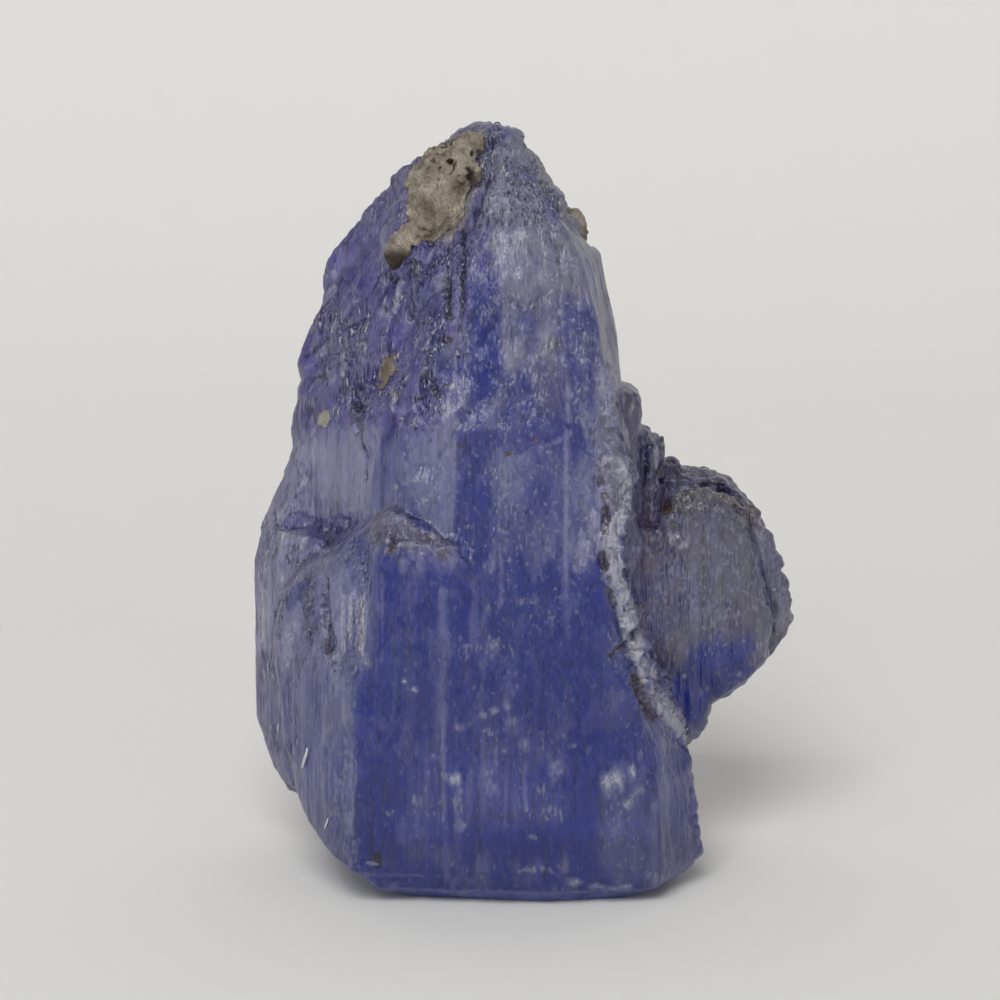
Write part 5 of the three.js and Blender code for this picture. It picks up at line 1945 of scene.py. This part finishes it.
@dataclass
class HostRock:
    """The beige remnants of host rock: a ragged crust near the tip, a chip behind its right shoulder, grains.

    Sizes are in millimetres, and the places of the crust's dark end in the front view's plane.
    """

    lump_pitch: Point3 = (0.5, 0.5, 0.55)
    lump_height: float = 0.18
    sand_pitch: Point3 = (0.12, 0.12, 0.14)
    sand_height: float = 0.07
    pit_pitch: Point3 = (0.34, 0.34, 0.34)
    pit_depth: float = 0.16
    blot_pitch: Point3 = (0.22, 0.22, 0.22)
    crust_tail: float = 244.0
    chip_melt: int = 6
    grain_depth: float = 0.6

    def roughen(self, rock: Object, seed: int, depth: float = 1.0, tail: float = 9999.0) -> None:
        """Give the clumps their granular, pitted face and keep where they are darkened: painted shade in the pits,
        dark blots and a darker lower end.

        Args:
            rock: The piece, in millimetres.
            seed: Which of the repeatable fields is meant.
            depth: How much of the full relief it gets.
            tail: How far down the front view's plane the dark end begins.
        """
        points, normals = points_of(rock), normals_of(rock)
        near, _, owner, _ = scattered(points, self.pit_pitch, seed)
        pits = rise(owner, 0.60, 0.64) * rise(near, 0.36, 0.10)
        view = SIGHT.project(points)
        spotted = within(view[:, 0] + 0.2 * view[:, 1], 462, 512, 10) * within(view[:, 1], 138, 186, 8)
        pits *= 0.25 + 0.75 * spotted
        height = self.lump_height * rough(points, self.lump_pitch, seed + 1)
        height = height + self.sand_height * rough(points, self.sand_pitch, seed + 2)
        move_points(rock, points + normals * (depth * (height - self.pit_depth * pits))[:, None])
        blots = rise(rough(points, self.blot_pitch, seed + 3), 0.05, 0.45)
        # Painted shade in the pits, with dark blots and, below tail, a darker end.
        dirt = pits + 0.75 * spotted * blots + 0.25 * blots
        paint(rock, "dirt", np.clip(np.maximum(dirt, 0.9 * rise(view[:, 1], tail, tail + 12)), 0, 1))

    def crust(self, ground: Ground, material: Material) -> None:
        """Make the crust: a ragged flake over the upper left of the tip.

        Args:
            ground: The bare surface of the crystal.
            material: What it is made of.
        """
        rock = CRUST.lay(ground)
        self.roughen(rock, 81, tail=self.crust_tail)
        finish_piece(rock, material)
        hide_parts("host_rock_crust")

    def chip(self, material: Material) -> None:
        """Make the chip, re-cut from its solid.

        Args:
            material: What it is made of.
        """
        rock = copied(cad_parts["host_rock_chip"], "host_rock_chip_face", Matrix.Scale(1 / MM, 4))
        weld(rock)
        modify(rock, "REMESH", mode="VOXEL", voxel_size=CRUST.voxel)
        modify(rock, "SMOOTH", factor=0.5, iterations=self.chip_melt)
        self.roughen(rock, 91)
        finish_piece(rock, material)
        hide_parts("host_rock_chip")

    def grains(self, ground: Ground) -> None:
        """Make the small grains on the left flank and at the plate's inner corner.

        Args:
            ground: The bare surface of the crystal.
        """
        for flake, finish in GRAINS:
            grain = flake.lay(ground)
            self.roughen(grain, flake.seed, self.grain_depth)
            finish_piece(grain, finish.make())


@dataclass
class Lint:
    """Two white fibres that lie on the lower left. Radii and the gap under them are in millimetres."""

    paths: tuple[tuple[Point2, ...], ...] = (
        ((310, 748), (309.5, 753), (307.5, 758), (306.5, 763), (305, 767)),
        ((330, 818), (329, 822), (328, 825), (327, 828)),
    )
    radii: tuple[float, ...] = (0.045, 0.028)
    gap: float = 0.05

    def lay(self, ground: Ground, material: Material) -> None:
        """Lay each fibre along its path, with thin ends.

        Args:
            ground: The bare surface of the crystal.
            material: What the fibres are made of.
        """
        for number, (places, radius) in enumerate(zip(self.paths, self.radii)):
            curve = bpy.data.curves.new("lint", "CURVE")
            curve.dimensions = "3D"
            curve.bevel_depth = radius
            curve.bevel_resolution = 3
            curve.use_fill_caps = True
            spline = curve.splines.new("NURBS")
            spline.points.add(len(places) - 1)
            spline.use_endpoint_u = True
            spline.order_u = 3
            for knot, place, share in zip(spline.points, places, np.linspace(-1, 1, len(places))):
                point, normal = ground.spot(place)
                knot.co = (*(point + normal * (radius + self.gap)), 1)
                knot.radius = float(1.1 - 0.45 * share * share)
            fibre = bpy.data.objects.new(f"lint_fibre_{number + 1}", curve)
            bpy.context.scene.collection.objects.link(fibre)
            activate(fibre)
            bpy.ops.object.convert(target="MESH")
            finish_piece(bpy.context.object, material)


# ---------------------------------------------------------------- the studio


@dataclass(frozen=True)
class Lamp:
    """A square soft light that faces the crystal or another place, and whether gloss mirrors it."""

    name: str
    place: Point3
    size: float
    watts: float
    mirrored: bool = True
    towards: Point3 = (0, 0, 0.012)

    def hang(self) -> None:
        """Add the light to the scene."""
        data = bpy.data.lights.new(self.name, "AREA")
        data.size = self.size
        data.energy = self.watts
        lamp = bpy.data.objects.new(self.name, data)
        lamp.location = self.place
        aim = Vector(self.towards) - Vector(self.place)
        lamp.rotation_euler = aim.to_track_quat("-Z", "Y").to_euler()
        lamp.visible_glossy = self.mirrored
        bpy.context.scene.collection.objects.link(lamp)


@dataclass
class Studio:
    """A pale sweep that is floor and wall in one, soft lights and the camera. Sizes are in metres."""

    half_width: float = 0.6
    front: float = -0.5
    bend_start: float = 0.07
    bend_radius: float = 0.10
    bend_steps: int = 24
    wall: float = 0.6
    card: Point3 = (0.80, 0.79, 0.765)
    air: Point3 = (0.93, 0.94, 0.95)
    level: float = 0.50
    above: float = 0.22
    lamps: tuple[Lamp, ...] = (
        Lamp("key", (-0.080, -0.42, 0.43), 0.29, 2.10, False),
        Lamp("glow", (0.0, 0.03, 0.22), 0.30, 0.08, False, (0.0, 1.0, 0.22)),
        Lamp("spark_top", (-0.12, -0.10, 0.26), 0.014, 0.020),
        Lamp("spark_left", (-0.20, -0.20, 0.11), 0.014, 0.016),
        Lamp("spark_right", (0.14, -0.24, 0.14), 0.012, 0.012),
        Lamp("spark_front", (-0.04, -0.30, 0.18), 0.012, 0.012),
    )

    def sweep(self) -> None:
        """Make the floor with a wall that curves up behind the crystal."""
        deselect_all()
        bpy.ops.mesh.primitive_plane_add(size=2 * self.half_width, location=(0, self.front + self.half_width, 0))
        sweep = bpy.context.object
        sweep.name = "sweep"
        bpy.ops.object.transform_apply(location=True)
        bpy.ops.object.mode_set(mode="EDIT")
        bpy.ops.mesh.select_mode(type="EDGE")
        bpy.ops.mesh.select_all(action="DESELECT")
        shape = bmesh.from_edit_mesh(sweep.data)
        for edge in shape.edges:
            edge.select_set(min(corner.co.y for corner in edge.verts) > self.bend_start)
        bmesh.update_edit_mesh(sweep.data)
        back = self.front + 2 * self.half_width
        bpy.ops.transform.translate(value=(0, self.bend_start - back, 0))
        bend_middle = (0, self.bend_start, self.bend_radius)
        bpy.ops.mesh.spin(steps=self.bend_steps, angle=-math.pi / 2, center=bend_middle, axis=(1, 0, 0))
        bpy.ops.mesh.extrude_region_move(TRANSFORM_OT_translate={"value": (0, 0, self.wall - self.bend_radius)})
        bpy.ops.object.mode_set(mode="OBJECT")
        activate(sweep)
        bpy.ops.object.shade_smooth()
        material, _, shader, _ = new_material("pale_card")
        shader.inputs["Base Color"].default_value = (*self.card, 1)
        shader.inputs["Roughness"].default_value = 0.9
        shader.inputs["Specular IOR Level"].default_value = 0.1
        sweep.data.materials.append(material)

    def room(self) -> None:
        """Make the world: a pale room with a dimmer ceiling."""
        world = bpy.data.worlds.new("pale_room")
        world.use_nodes = True
        nodes, links = world.node_tree.nodes, world.node_tree.links
        background = nodes["Background"]
        background.inputs["Color"].default_value = (*self.air, 1)
        place = nodes.new("ShaderNodeTexCoord")
        split = nodes.new("ShaderNodeSeparateXYZ")
        fade = nodes.new("ShaderNodeMapRange")
        for name, value in (("From Min", 0.0), ("From Max", 0.9), ("To Min", self.level), ("To Max", self.above)):
            fade.inputs[name].default_value = value
        links.new(place.outputs["Generated"], split.inputs[0])
        links.new(split.outputs["Z"], fade.inputs["Value"])
        links.new(fade.outputs["Result"], background.inputs["Strength"])
        bpy.context.scene.world = world

    def build(self) -> None:
        """Make the stage, the lights, the world and the camera."""
        self.sweep()
        for lamp in self.lamps:
            lamp.hang()
        self.room()
        bpy.context.scene.view_settings.view_transform = "Standard"
        SIGHT.put_camera()


def main() -> None:
    """Build the crystal, its host rock, what lies on it and the studio."""
    logging.basicConfig(level=logging.INFO, format="%(name)s %(message)s")
    Studio().build()
    ground = Crystal().build(TanzaniteFinish().make())
    rock = RockFinish().make()
    host_rock = HostRock()
    host_rock.crust(ground, rock)
    host_rock.chip(rock)
    host_rock.grains(ground)
    Lint().lay(ground, LintFinish().make())


if __name__ == "__main__":
    main()
